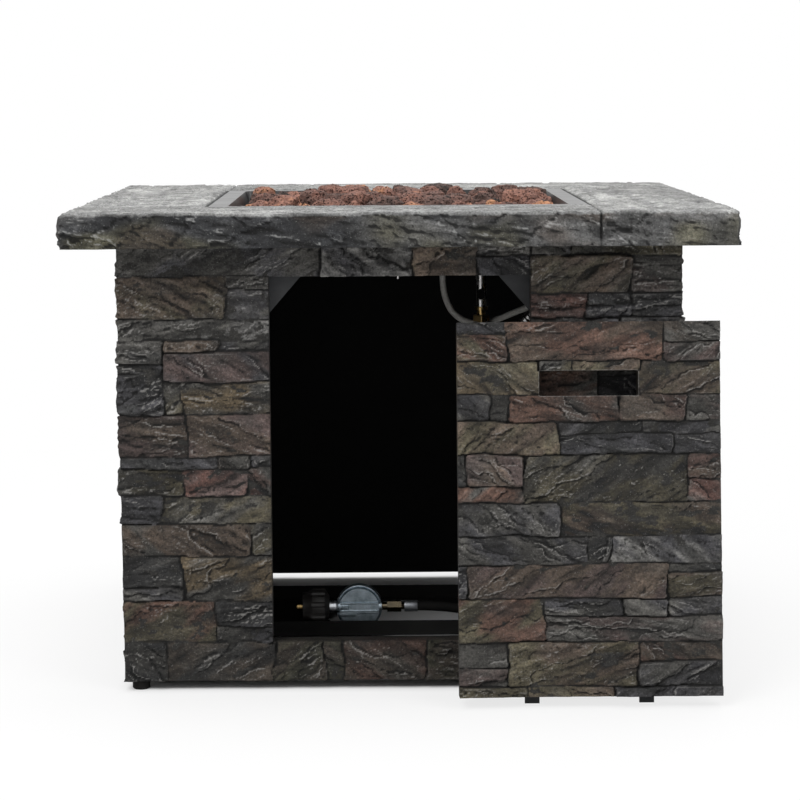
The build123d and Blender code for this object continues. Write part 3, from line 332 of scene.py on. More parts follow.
def rough_noise(a, b, seed, layers=4):
    """Noise with finer and finer detail, about -1 to 1."""
    total = 0
    for layer in range(layers):
        finer = 2 ** layer
        shift_a, shift_b = 17.3 * layer, 9.1 * layer
        total = total + 0.52 ** layer * smooth_noise(a * finer + shift_a, b * finer + shift_b, seed + layer)
    return total / 1.35


def ease(value, low, high):
    """A smooth step from 0 to 1."""
    share = np.clip((value - low) / (high - low), 0, 1)
    return share * share * (3 - 2 * share)


def blurred(field, reach):
    """A field averaged over a square of cells."""
    count = 2 * reach + 1
    for axis in (0, 1):
        wide = np.pad(field, [(reach + 1, reach) if axis == k else (0, 0) for k in (0, 1)], mode="edge")
        total = np.cumsum(wide, axis=axis)
        field = (np.take(total, range(count, total.shape[axis]), axis=axis)
                 - np.take(total, range(0, total.shape[axis] - count), axis=axis)) / count
    return field


def read_panel(node, across, up, out, joint):
    """The size of a cast panel and its stones: left, right, bottom, top and rise over the joints."""
    mesh = nodes[node].data
    spots = np.empty(len(mesh.vertices) * 3)
    mesh.vertices.foreach_get("co", spots)
    mesh.calc_loop_triangles()
    corners = np.empty(len(mesh.loop_triangles) * 3, int)
    mesh.loop_triangles.foreach_get("vertices", corners)
    local = spots.reshape(-1, 3) @ np.array([across, up, out]).T
    faces = local[corners.reshape(-1, 3)]
    flat = (np.ptp(faces[:, :, 2], axis=1) < 3e-5) & (faces[:, 0, 2] > joint + 0.003)
    same_level, touching, course = 5e-5, 1e-4, 0.006
    stones = []
    for face in faces[flat]:
        (left, bottom, level), (right, top, _) = face.min(0), face.max(0)
        for stone in stones:
            if (abs(stone[4] - (level - joint)) < same_level
                    and left < stone[1] + touching and right > stone[0] - touching
                    and bottom < stone[3] + touching and top > stone[2] - touching):
                stone[0], stone[1] = min(stone[0], left), max(stone[1], right)
                stone[2], stone[3] = min(stone[2], bottom), max(stone[3], top)
                break
        else:
            stones.append([left, right, bottom, top, level - joint])
    stones.sort(key=lambda stone: (-round(stone[3] / course), stone[0]))
    return local.min(0), local.max(0), stones


def grid_lines(low, high, marks, pitch):
    """Lines at an even pitch from low to high that also fall on the marks."""
    edges = [low, *marks, high]
    runs = [np.linspace(a, b, max(2, round((b - a) / pitch) + 1))[:-1] for a, b in zip(edges, edges[1:])]
    return np.concatenate([*runs, [high]])


def ledges(a, b, chance, left, right, bottom, top, count, deepest, lie):
    """How far split faces drop behind the lines where flakes broke off, each healing back to the face."""
    wander, brink = 0.0085, 0.0014
    drop = np.zeros(a.shape)
    for _ in range(count):
        way = lie + chance.uniform(-0.3, 0.3)
        from_a = a - chance.uniform(left, right)
        from_b = b - chance.uniform(bottom, top)
        ragged = rough_noise(a / 0.026 + chance.uniform(0, 90), b / 0.022, int(chance.integers(900)), 4)
        behind = from_b * math.cos(way) - from_a * math.sin(way) + wander * ragged
        behind = behind * chance.choice((-1, 1))
        reach = chance.uniform(0.012, 0.05)
        healing = np.exp(-np.maximum(behind, 0) / reach)
        drop += chance.uniform(0.3, 1) * deepest * ease(behind, 0, brink) * healing
    return drop


def raised_parts(rise, reach, unit):
    """Where a field stands out from its surroundings: crests near 1, hollows near -1."""
    filled = np.maximum(rise, 0.8 * blurred(rise, 3 * reach))
    crest = (filled - blurred(filled, reach)) / unit
    hollow = (rise - blurred(rise, 2 * reach)) / (2.2 * unit)
    return np.clip(np.where(hollow < -0.3, hollow, np.maximum(crest, 0)), -1, 1)


def stone_field(u, v, low, high, stones, seed, tones, hole=None, bare=None):
    """Stacked split stones over a grid: rise over the joints, wash, crests, and each point's stone."""
    at_edge, past_edge, around = 0.006, 0.012, 0.014
    thinnest, thickest, flake_deep, most_flakes = 0.0016, 0.0107, 0.0034, 10
    u_at, v_at = np.meshgrid(u, v, indexing="ij")
    u_bent = u_at + 0.0034 * rough_noise(u_at / 0.036, v_at / 0.026, seed + 1, 5)
    v_bent = v_at + 0.0027 * rough_noise(u_at / 0.048, v_at / 0.030, seed + 2, 5)
    rise = 0.0012 + 0.0012 * rough_noise(u_at / 0.014, v_at / 0.009, seed + 3, 3)
    wash = np.zeros(rise.shape + (3,)) + joint_wash
    owner = np.full(rise.shape, -1)
    outline = np.zeros(rise.shape)
    chance = np.random.default_rng(seed)
    for number, (left, right, bottom, top, depth) in enumerate(stones):
        grow = 0.2 * depth + 0.0011
        left, right, bottom, top = left - grow, right + grow, bottom - grow, top + grow
        wide, tall = right - left, top - bottom
        middle_a, middle_b = (left + right) / 2, (bottom + top) / 2
        left -= past_edge * (left - low[0] < at_edge)
        right += past_edge * (high[0] - right < at_edge)
        bottom -= past_edge * (bottom - low[1] < at_edge)
        top += past_edge * (high[1] - top < at_edge)
        part = (slice(*np.searchsorted(u, (left - around, right + around))),
                slice(*np.searchsorted(v, (bottom - around, top + around))))
        a, b = u_bent[part], v_bent[part]
        if hole:
            beside = (v_at[part] > hole[2]) & (v_at[part] < hole[3])
            over = (u_at[part] > hole[0]) & (u_at[part] < hole[1])
            right = right + past_edge * beside * (abs(right - hole[0]) < at_edge)
            left = left - past_edge * beside * (abs(left - hole[1]) < at_edge)
            top = top + past_edge * over * (abs(top - hole[2]) < at_edge)
            bottom = bottom - past_edge * over * (abs(bottom - hole[3]) < at_edge)

        lean = chance.uniform(-0.13, 0.13, 2)
        a_in = np.minimum(a - left - lean[0] * (b - middle_b), right + lean[1] * (b - middle_b) - a)
        b_in = np.minimum(b - bottom, top - b)
        corner = min(0.004, 0.25 * min(wide, tall))
        inside = np.where((a_in < corner) & (b_in < corner),
                          corner - np.hypot(corner - a_in, corner - b_in), np.minimum(a_in, b_in))
        shift = chance.uniform(0, 90, 4)
        chip = 0.0016 + 0.0030 * rough_noise(a / 0.018 + shift[0], b / 0.014, seed + 11, 4)
        ease_in = np.clip(inside / np.maximum(chip, 0.0007), 0, 1)
        round_over = np.sqrt(np.clip(1 - (1 - ease_in) ** 2, 0, 1))

        tilt = chance.uniform(-1, 1, 2) * (0.0016, 0.0020)
        grain_way = chance.uniform(0.1, 0.75) * chance.choice((-1, 1))
        along = a * math.cos(grain_way) + b * math.sin(grain_way)
        across = b * math.cos(grain_way) - a * math.sin(grain_way)
        grain = rough_noise(along / 0.045 + shift[1], across / 0.008 + shift[2], seed + 31, 4)
        letters = tones(number, chance)
        coarse = letters[0] == "l" or letters[0] == "o" and wide * tall > 0.006 or chance.uniform() < 0.15
        pitted = rough_noise(a / 0.011 + shift[3], b / 0.009, seed + 36, 4)
        skin = (depth * chance.uniform(0.72, 0.98)
                + 2 * tilt[0] * (a - middle_a) / max(wide, 0.04)
                + 2 * tilt[1] * (b - middle_b) / max(tall, 0.025)
                + 0.0012 * rough_noise(a / 0.045 + shift[2], b / 0.03 + shift[3], seed + 21, 3)
                + 0.0019 * grain + (0.0026 if coarse else 0.0012) * pitted)
        flakes = min(3 + int(wide * tall / 0.0018) + int(chance.integers(3)), most_flakes)
        drop = ledges(a, b, chance, middle_a - wide / 2, middle_a + wide / 2, middle_b - tall / 2,
                      middle_b + tall / 2, flakes, flake_deep, grain_way + chance.uniform(-0.3, 0.3))
        stands = np.clip(skin - drop, thinnest, thickest) * round_over
        better = (inside > 0) & (stands > rise[part])
        rise[part] = np.where(better, stands, rise[part])
        owner[part] = np.where(better, number, owner[part])
        outline[part] = np.where(better, inside, outline[part])

        first, second = (np.array(wash_tones[letter]) for letter in letters)
        drift = rough_noise(along / 0.06 + shift[3], across / 0.022 + shift[0], seed + 41, 4)
        patch = ease(drift, -0.35, 0.4)[..., None]
        faded = ease(rough_noise(a / 0.05 + shift[1], b / 0.03 + shift[2], seed + 46, 3), 0.0, 0.7)[..., None]
        colour = first * (1 - patch) + second * patch
        colour = colour * (1 - dust_share * faded) + dust_wash * dust_share * faded
        colour = colour * (1.07 + 0.25 * chance.uniform(-1, 1))
        # Painted shade: the wash darkens where a flake's ledge sinks behind its break, the deeper the darker.
        colour = colour * (1 + 0.55 * grain[..., None] - 70 * drop[..., None])
        wash[part] = np.where(better[..., None], np.clip(colour, 0.008, 0.5), wash[part])
    if bare:
        flat = (u_at > bare[0]) & (u_at < bare[1]) & (v_at > bare[2]) & (v_at < bare[3])
        rise = np.where(flat, -0.0003, rise)
        wash = np.where(flat[..., None], window_wash, wash)
    lift = raised_parts(rise, 1, 0.0005)
    worn = 0.25 + 0.75 * ease(rough_noise(u_at / 0.03, v_at / 0.024, seed + 61, 4), -0.2, 0.3)
    worn = worn * (0.5 + 0.5 * ease(outline, 0.0020, 0.0050))
    return rise, wash, np.where(lift > 0, lift * worn, lift), owner


def round_corners(spot_u, spot_v, hole, radius):
    """Draw the grid's points at the corners of a hole in onto an arc."""
    tight = 1e-6
    for side_u, side_v in ((0, 0), (1, 0), (0, 1), (1, 1)):
        way_u, way_v = 1 - 2 * side_u, 1 - 2 * side_v
        hub_u, hub_v = hole[side_u] + radius * way_u, hole[2 + side_v] + radius * way_v
        away_u, away_v = spot_u - hub_u, spot_v - hub_v
        ring = (np.abs(spot_u - hole[side_u]) < tight) | (np.abs(spot_v - hole[2 + side_v]) < tight)
        ring &= (away_u * way_u <= 0) & (away_v * way_v <= 0)
        ring &= (np.abs(away_u) <= radius + tight) & (np.abs(away_v) <= radius + tight)
        far = np.maximum(np.hypot(away_u, away_v), 1e-9)
        spot_u = np.where(ring, hub_u + away_u * radius / far, spot_u)
        spot_v = np.where(ring, hub_v + away_v * radius / far, spot_v)
    return spot_u, spot_v


def field_mesh(name, u, v, level, back, axes, rise, wash, lift, hole=None, hole_corner=0.0, hole_wear=0.0,
               rim_rows=3, rim_shape=None):
    """A closed mesh with a field as its face, a rim down each edge, and a plain back."""
    spot_u, spot_v = np.meshgrid(u, v, indexing="ij")
    if hole_corner:
        spot_u, spot_v = round_corners(spot_u, spot_v, hole, hole_corner)
    count_u, count_v = rise.shape
    index = np.arange(count_u * count_v).reshape(count_u, count_v)
    kept = np.ones((count_u - 1, count_v - 1), bool)
    rings = [(0, count_u - 1, 0, count_v - 1)]
    if hole:
        hole_u, hole_v = np.array(hole[:2]) - 1e-7, np.array(hole[2:]) - 1e-7
        hole_at = (*np.searchsorted(u, hole_u), *np.searchsorted(v, hole_v))
        kept[hole_at[0]:hole_at[1], hole_at[2]:hole_at[3]] = False
        rings.append(hole_at)
    quads = np.stack([index[:-1, :-1], index[1:, :-1], index[1:, 1:], index[:-1, 1:]], -1)[kept]
    points = np.stack([spot_u, spot_v, level + rise], -1).reshape(-1, 3)
    washes, lifts = wash.reshape(-1, 3), lift.reshape(-1).copy()
    rim_quads, loops = [], []
    for order, (u0, u1, v0, v1) in enumerate(rings):
        ring = np.concatenate([index[u0:u1, v0], index[u1, v0:v1], index[u1:u0:-1, v1], index[u0, v1:v0:-1]])
        aim = np.concatenate([np.tile((0.0, -1.0), (u1 - u0, 1)), np.tile((1.0, 0.0), (v1 - v0, 1)),
                              np.tile((0.0, 1.0), (u1 - u0, 1)), np.tile((-1.0, 0.0), (v1 - v0, 1))])
        shaped = order == 0 and rim_shape is not None
        rows = rim_rows if shaped else 3
        share = np.linspace(0, 1, rows + 1)[:, None]
        depth = points[ring, 2] * (1 - share) + back * share
        out = np.zeros(depth.shape)
        spread = np.mean([np.roll(washes[ring], step, axis=0) for step in range(-9, 10)], axis=0)
        rim_wash = np.broadcast_to(spread * (0.85 if order == 0 else 0.5), depth.shape + (3,))
        rim_lift = np.broadcast_to(lifts[ring] * 0.3, depth.shape)
        if shaped:
            out, rim_wash, rim_lift = rim_shape(points[ring], aim, depth, share, ring, rim_wash)
            points[ring, :2] += aim * out[0][:, None]
        elif order == 1 and hole_wear:
            lifts[ring] = hole_wear
        previous = ring
        base = points[ring].copy()
        base[:, :2] -= aim * out[0][:, None]
        for row in range(1, rows + 1):
            new = np.c_[base[:, :2] + aim * out[row][:, None], depth[row]]
            current = len(points) + np.arange(len(ring))
            points = np.concatenate([points, new])
            washes = np.concatenate([washes, rim_wash[row]])
            lifts = np.concatenate([lifts, rim_lift[row]])
            sides = [previous, current, np.roll(current, -1), np.roll(previous, -1)]
            if order == 1:
                sides = [sides[0], *sides[:0:-1]]
            rim_quads.append(np.stack(sides, -1))
            previous = current
        loops.append((previous, (u1 - u0) + (v1 - v0)))
    if hole:
        (outer, outer_half), (inner, inner_half) = loops
        backs = [np.concatenate([outer[:outer_half + 1], inner[:inner_half + 1][::-1]]),
                 np.concatenate([outer[outer_half:], outer[:1], inner[:1], inner[inner_half:][::-1]])]
    else:
        backs = [loops[0][0]]
    rims = np.concatenate(rim_quads)
    used = np.zeros(len(points), bool)
    used[quads] = True
    used[rims] = True
    renumber = np.cumsum(used) - 1
    faces = renumber[quads].tolist() + renumber[rims].tolist() + [renumber[b[::-1]].tolist() for b in backs]
    mesh = bpy.data.meshes.new(name)
    mesh.from_pydata((points[used] @ np.array(axes)).tolist(), [], faces)
    mesh.attributes.new("wash", "FLOAT_COLOR", "POINT").data.foreach_set(
        "color", np.c_[np.clip(washes[used], 0.004, 0.6), np.ones(used.sum())].ravel())
    mesh.attributes.new("lift", "FLOAT", "POINT").data.foreach_set("value", np.clip(lifts[used], -1, 1))
    smooth = np.zeros(len(mesh.polygons), bool)
    smooth[:len(quads) + (len(rims) if rim_shape else 0)] = True
    mesh.polygons.foreach_set("use_smooth", smooth)
    lining = np.zeros(len(mesh.polygons), int)
    lining[len(quads) + len(rims):] = 1
    mesh.polygons.foreach_set("material_index", lining)
    mesh.update()
    return mesh


def stand_in(name, shape, body, node):
    """A piece that stands for a solid: it rides on the body, and the solid is hidden."""
    piece = bpy.data.objects.new(name, shape)
    scene.collection.objects.link(piece)
    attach(piece, body)
    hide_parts(node)
    return piece


def picked_tones(letters):
    """Wash tones listed for each stone, with a second tone that drifts over it."""
    seconds = {"d": "sg", "s": "gd", "g": "so", "l": "gs", "o": "bg", "b": "gop", "r": "bgo", "e": "pbg",
               "p": "gbs", "y": "obg", "u": "dv", "v": "ud", "x": "uv"}

    def choose(number, chance):
        letter = letters[number % len(letters)]
        return letter, seconds[letter][chance.integers(len(seconds[letter]))]

    return choose


def cast_panel(name, node, body, axes, joint, pitch, seed, letters, hole=None, hole_corner=0.0, hole_wear=0.0,
               end_rise=0.0, bare=None):
    """A panel of cast ledge stone over the solid's own stones, closed at its edges and back."""
    low, high, stones = read_panel(node, *axes, joint)
    u = grid_lines(low[0], high[0], hole[:2] if hole else (), pitch)
    v = grid_lines(low[1], high[1], hole[2:] if hole else (), pitch)
    rise, wash, lift, owner = stone_field(u, v, low, high, stones, seed, picked_tones(letters), hole, bare)

    def broken_ends(ring_points, aim, depth, share, ring, ring_wash):
        """Stone ends at the panel's two sides: each stops short or stands out, and joints sink in."""
        stops = np.random.default_rng(seed + 5).uniform(-1.0, 0.75, len(stones) + 1)
        stops[-1] = -1.3
        step = stops[owner.reshape(-1)[ring]] * np.ones(depth.shape)
        along = np.broadcast_to(ring_points[:, 1], depth.shape)
        rough = rough_noise(along / 0.016, depth / 0.014, seed + 6, 4)
        fade = np.clip(1.3 - share, 0, 1)
        moved = end_rise * (0.62 * step + 0.55 * rough - 0.1) * fade * np.abs(aim[:, 0])
        return moved, ring_wash * (1 + 0.35 * rough[..., None]), np.clip(rough * 0.8, -0.6, 0.8)

    mesh = field_mesh(name, u, v, joint, low[2], axes, rise, wash, lift, hole, hole_corner, hole_wear,
                      rim_rows=12, rim_shape=broken_ends if end_rise else None)
    mesh.materials.append(wall_stone)
    mesh.materials.append(black_lining)
    stand_in(name, mesh, body, node)


right_x, up_z = (1, 0, 0), (0, 0, 1)
wall_joint, end_break = 0.340, 0.0065
doorway = (-0.161, 0.161, 0.061, 0.518)
plate_opening, plate_window = (-0.122, -0.010, 0.441, 0.483), (-0.144, 0.012, 0.421, 0.503)
# One wash letter for each stone, from the top course down and from left to right.
front_letters = "glogsgsodpbssesdslsgdbgsbpdrssysobpbsrddbssoeesbgsosbgsrsdysbsrssoddduuuxvds"
side_letters = "gsobsbpgsrbogdegsobgspyrsgobsgrepbrbosggbs"
cast_panel("front_stonework", "front_wall", "table", (right_x, up_z, (0, -1, 0)), wall_joint,
           pitch=0.00175, seed=100, letters=front_letters, hole=doorway, end_rise=end_break)
cast_panel("back_stonework", "back_wall", "table", ((-1, 0, 0), up_z, (0, 1, 0)), wall_joint,
           pitch=0.00225, seed=200, letters=side_letters, end_rise=end_break)
cast_panel("left_stonework", "left_wall", "table", ((0, -1, 0), up_z, (-1, 0, 0)), wall_joint,
           pitch=0.0021, seed=300, letters=side_letters[7:] + side_letters[:7])
cast_panel("right_stonework", "right_wall", "table", ((0, 1, 0), up_z, (1, 0, 0)), wall_joint,
           pitch=0.0021, seed=400, letters=side_letters[15:] + side_letters[:15],
           hole=plate_opening, bare=plate_window)

# Door: a panel of the same cast stone with a finger slot. It stands on two steel tabs and leans on
# the front wall, and a magnet let into each upper corner of its back holds it on the door stops.
door_lean, door_tall, tab_drop, door_thick = math.radians(8.5), 0.454, 0.0106, 0.025
door_x, wall_front = 0.228, -0.3513
slot_left, slot_right, slot_low, slot_high, slot_corner = 0.1675, 0.2885, 0.364, 0.395, 0.0025
door_up = (0, math.sin(door_lean), math.cos(door_lean))
door_out = (0, -math.cos(door_lean), math.sin(door_lean))
door_foot = Vector((door_x, wall_front - door_tall * math.sin(door_lean), tab_drop * math.cos(door_lean)))
door_rise = door_foot.dot(Vector(door_up))
door_joint = door_foot.dot(Vector(door_out)) + door_thick
door_letters = "drbrpygobgdrepossssdboeersbgdldbdbrsssppoespood"
cast_panel("door_stonework", "door_panel", "door", (right_x, door_up, door_out), door_joint,
           pitch=0.00135, seed=500, letters=door_letters,
           hole=(slot_left, slot_right, door_rise + slot_low, door_rise + slot_high),
           hole_corner=slot_corner, hole_wear=0.85)
dark_steel = finish("dark_steel", (0.026, 0.027, 0.029), (0.046, 0.047, 0.049),
                    metal=0.25, gloss=(0.45, 0.7), blotch=30, grain=700, shine=0.35)
dress(dark_steel, "door_tabs", "door_magnets")

# Steelwork: zinc-plated angles in the inner corners, brackets under the top and a folded tank tray,
# with dark painted stops behind the doorway's upper corners. All are screwed to the cast walls.
zinc_plate = finish("zinc_plate", (0.50, 0.51, 0.53), (0.36, 0.37, 0.39),
                    metal=1, gloss=(0.32, 0.55), blotch=55, grain=500, bump=0.0001)
tray_paint = finish("tray_paint", (0.009, 0.009, 0.009), (0.015, 0.015, 0.014),
                    metal=0, gloss=(0.55, 0.75), blotch=24, grain=600, shine=0.1)
dress(zinc_plate, "corner_angles", "slab_brackets")
dress(dark_steel, "door_stops")
dress(tray_paint, "tank_tray")


def soften(width, *names):
    """Round the sharp edges of solids a little, as moulding, casting and turning leave them."""
    for name in names:
        weld = nodes[name].modifiers.new("weld", "WELD")
        weld.merge_threshold = 1e-6
        edge = nodes[name].modifiers.new("edge", "BEVEL")
        edge.width = width
        edge.segments = 2
        edge.limit_method = "ANGLE"
        edge.angle_limit = math.radians(35)


soften(0.0006, "tank_tray", "door_stops")


def shape_tree(name, *inputs):
    """A tree of geometry nodes with named inputs, and what its input node gives."""
    tree = bpy.data.node_groups.new(name, "GeometryNodeTree")
    add_sockets(tree, "INPUT", ("Geometry", "Geometry"), *inputs)
    add_sockets(tree, "OUTPUT", ("Geometry", "Geometry"))
    return tree, add_node(tree, "NodeGroupInput", {})


def end_tree(tree, shape, material):
    """Close a tree: real geometry with its material goes out."""
    real = add_node(tree, "GeometryNodeRealizeInstances", {"Geometry": shape})["Geometry"]
    dressed = add_node(tree, "GeometryNodeSetMaterial", {"Geometry": real, "Material": material})["Geometry"]
    add_node(tree, "NodeGroupOutput", {"Geometry": dressed})


def grown(name, source, tree, values):
    """A plain mesh made by a node tree from a source object, which is then removed."""
    grow = source.modifiers.new("grow", "NODES")
    grow.node_group = tree
    for item in tree.interface.items_tree:
        if item.in_out == "INPUT" and item.name in values:
            grow[item.identifier] = values[item.name]
    scene.collection.objects.link(source)
    mesh = bpy.data.meshes.new_from_object(source.evaluated_get(bpy.context.evaluated_depsgraph_get()))
    mesh.name = name
    bpy.data.objects.remove(source)
    return mesh


screw_tree, screw_in = shape_tree("screw_heads", ("Head Radius", "Float"), ("Head Height", "Float"),
                                  ("Metal", "Material"))
screw_spots = add_node(screw_tree, "GeometryNodeMeshToPoints", {"Mesh": screw_in["Geometry"]})["Points"]
screw_aim = add_node(screw_tree, "GeometryNodeInputNamedAttribute", {"Name": "aim"}, data_type="FLOAT_VECTOR")
screw_turn = add_node(screw_tree, "FunctionNodeAlignRotationToVector", {"Vector": screw_aim["Attribute"]},
                      axis="Z")
screw_head = add_node(screw_tree, "GeometryNodeMeshCylinder", {
    "Vertices": 6,
    "Radius": screw_in["Head Radius"],
    "Depth": screw_in["Head Height"],
})
screw_washer = add_node(screw_tree, "GeometryNodeMeshCylinder", {
    "Vertices": 20,
    "Radius": link_math(screw_tree, "MULTIPLY", screw_in["Head Radius"], 1.55),
    "Depth": link_math(screw_tree, "MULTIPLY", screw_in["Head Height"], 0.5),
})
screw_pair = screw_tree.nodes.new("GeometryNodeJoinGeometry")
for screw_part in (screw_head, screw_washer):
    feed(screw_tree, screw_pair, {"Geometry": screw_part["Mesh"]})
screw_copies = add_node(screw_tree, "GeometryNodeInstanceOnPoints", {
    "Points": screw_spots,
    "Instance": screw_pair.outputs["Geometry"],
    "Rotation": screw_turn["Rotation"],
})
end_tree(screw_tree, screw_copies["Instances"], screw_in["Metal"])


def screws_at(name, body, spots, radius, height, metal):
    """Hex screws with washers: each spot is a place on the plate and the way its head looks."""
    seed_mesh = bpy.data.meshes.new(name)
    seed_mesh.from_pydata([place for place, aim in spots], [], [])
    aims = seed_mesh.attributes.new("aim", "FLOAT_VECTOR", "POINT")
    aims.data.foreach_set("vector", [part for place, aim in spots for part in aim])
    mesh = grown(name, bpy.data.objects.new(name + "_spots", seed_mesh), screw_tree,
                 {"Head Radius": radius, "Head Height": height, "Metal": metal})
    made = bpy.data.objects.new(name, mesh)
    scene.collection.objects.link(made)
    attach(made, body)


wall_screw, stop_face, angle_face, bracket_face, tray_face = 0.0042, -0.3118, -0.3128, 0.5548, 0.3128
angle_x, bracket_x, tab_x, tab_face = 0.297, 0.018, 0.07, 0.0032
stop_spots = [((side * x, stop_face, z), (0, 1, 0))
              for side in (-1, 1) for x, z in ((0.188, 0.533), (0.1254, 0.533), (0.188, 0.4589))]
wall_spots = []
for turn in range(4):
    spin = Matrix.Rotation(turn * math.pi / 2, 3, "Z")
    for side in (-1, 1):
        for place, aim in (
            ((side * angle_x, angle_face, 0.1164), (0, 1, 0)),
            ((side * angle_x, angle_face, 0.4736), (0, 1, 0)),
            ((side * bracket_x, angle_face, 0.539), (0, 1, 0)),
            ((side * bracket_x, -angle_x, bracket_face), (0, 0, -1)),
        ):
            wall_spots.append((spin @ Vector(place), spin @ Vector(aim)))
tray_spots = [((side * tray_face, y, 0.027), (-side, 0, 0)) for side in (-1, 1) for y in (-0.0805, 0.0805)]
steel_spots = stop_spots + wall_spots + tray_spots
screws_at("steelwork_screws", "table", steel_spots, radius=wall_screw, height=wall_screw, metal=zinc_plate)
tab_spots = []
for side in (-1, 1):
    for rise in (0.0055, 0.0239):
        tab_place = door_foot + Vector((side * tab_x, 0, 0)) + rise * Vector(door_up)
        tab_spots.append((tab_place - tab_face * Vector(door_out), -Vector(door_out)))
screws_at("tab_screws", "door", tab_spots, radius=wall_screw, height=wall_screw, metal=zinc_plate)

# Top: one slab of cast stone with a slate grain, made to look like four planks laid pinwheel,
# its outer edge chiselled. It lies on the walls and carries the fire pan in a rebate.
slab_stone = stone_finish("washed_slab_stone", brush=(0.42, 0.42, 0.41), streaks=(30, 30, 70), bump=0.0034)
slab_half, slab_hole, slab_rebate, slab_top, slab_under = 0.4065, 0.223, 0.246, 0.600, 0.557
slab_pitch, edge_rows, pan_gap, pan_gap_deep = 0.0026, 20, 0.0022, 0.004
seam_at, seam_wide, seam_deep = 0.241, 0.0026, 0.0032
# The top's slate washes are paler than the stone's own tone: partly painted sheen, standing for the glancing
# reflection on the top.
dark_slate_and_sheen, pale_slate_and_sheen = np.array((0.236, 0.237, 0.233)), np.array((0.345, 0.345, 0.335))
edge_dark, edge_pale = np.array((0.040, 0.041, 0.044)), np.array((0.128, 0.127, 0.125))
edge_olive, edge_umber = np.array((0.112, 0.103, 0.058)), np.array((0.118, 0.086, 0.064))
slab_lines = grid_lines(-slab_half, slab_half, (-slab_hole, slab_hole), slab_pitch)
x, y = np.meshgrid(slab_lines, slab_lines, indexing="ij")
front_plank, right_plank = (y < -slab_rebate) & (x < seam_at), (x > slab_rebate) & (y < seam_at)
back_plank = (y > slab_rebate) & (x > -seam_at)
plank = np.select([front_plank, right_plank, back_plank], [0, 1, 2], 3)
lengthways = np.where(plank % 2 == 0, x, y) + 3.1 * plank
sideways = np.where(plank % 2 == 0, y, x) + 1.7 * plank
bend = 0.010 * rough_noise(lengthways / 0.09, sideways / 0.05, 715, 4)
lengthways = lengthways + 0.05 * rough_noise(sideways / 0.011, lengthways / 0.3, 716, 3)
grain = rough_noise(lengthways / 0.19, (sideways + bend) / 0.0068, 720, 4)
grain = 0.7 * grain + 0.5 * rough_noise(lengthways / 0.4, (sideways + bend) / 0.021, 722, 3)
flakes = rough_noise(lengthways / 0.075 + 7 * bend / 0.01, (sideways + bend) / 0.024, 730, 4)
slab_rise = 0.0006 * grain - 0.0016 * ease(flakes, 0.0, 0.12)
slab_rise = slab_rise + 0.0006 * rough_noise(x / 0.02, y / 0.02, 735, 3)
to_edge = slab_half - np.maximum(np.abs(x), np.abs(y))
worn_edge = 0.0040 + 0.003 * rough_noise(x / 0.03, y / 0.03, 736, 3)
slab_rise -= 0.0024 * (1 - ease(to_edge, 0, worn_edge)) ** 2
to_pan = np.maximum(np.abs(x), np.abs(y)) - slab_rebate
slab_rise -= 0.0018 * (1 - ease(to_pan, 0, 0.012))
seams = np.minimum.reduce([
    np.where(y < -slab_rebate, np.abs(x - seam_at), 1), np.where(x > slab_rebate, np.abs(y - seam_at), 1),
    np.where(y > slab_rebate, np.abs(x + seam_at), 1), np.where(x < -slab_rebate, np.abs(y + seam_at), 1),
])
seam_mask = 1 - ease(seams, 0.3 * seam_wide, seam_wide)
slab_rise = np.minimum(slab_rise, 0.0006) - seam_deep * seam_mask
slab_rise = np.where(to_pan < pan_gap, -pan_gap_deep, slab_rise)
top_tone = ease(grain, -0.5, 0.6)[..., None]
top_patch = ease(rough_noise(lengthways / 0.2, sideways / 0.06, 737, 4), -0.3, 0.5)[..., None]
slab_wash = dark_slate_and_sheen * (1 - top_tone) + pale_slate_and_sheen * top_tone
slab_wash = slab_wash * (0.86 + 0.28 * top_patch) * (1 - 0.85 * seam_mask[..., None])
# Painted shade: the narrow gap round the pan's rim is painted almost black.
slab_wash = np.where((to_pan < pan_gap)[..., None], 0.012, slab_wash)
slab_lift = np.clip(raised_parts(slab_rise, 1, 0.0007), -0.34, 0.9)
slab_lift = np.where((to_edge < 0.004) & (slab_lift > 0), 0.75, slab_lift)


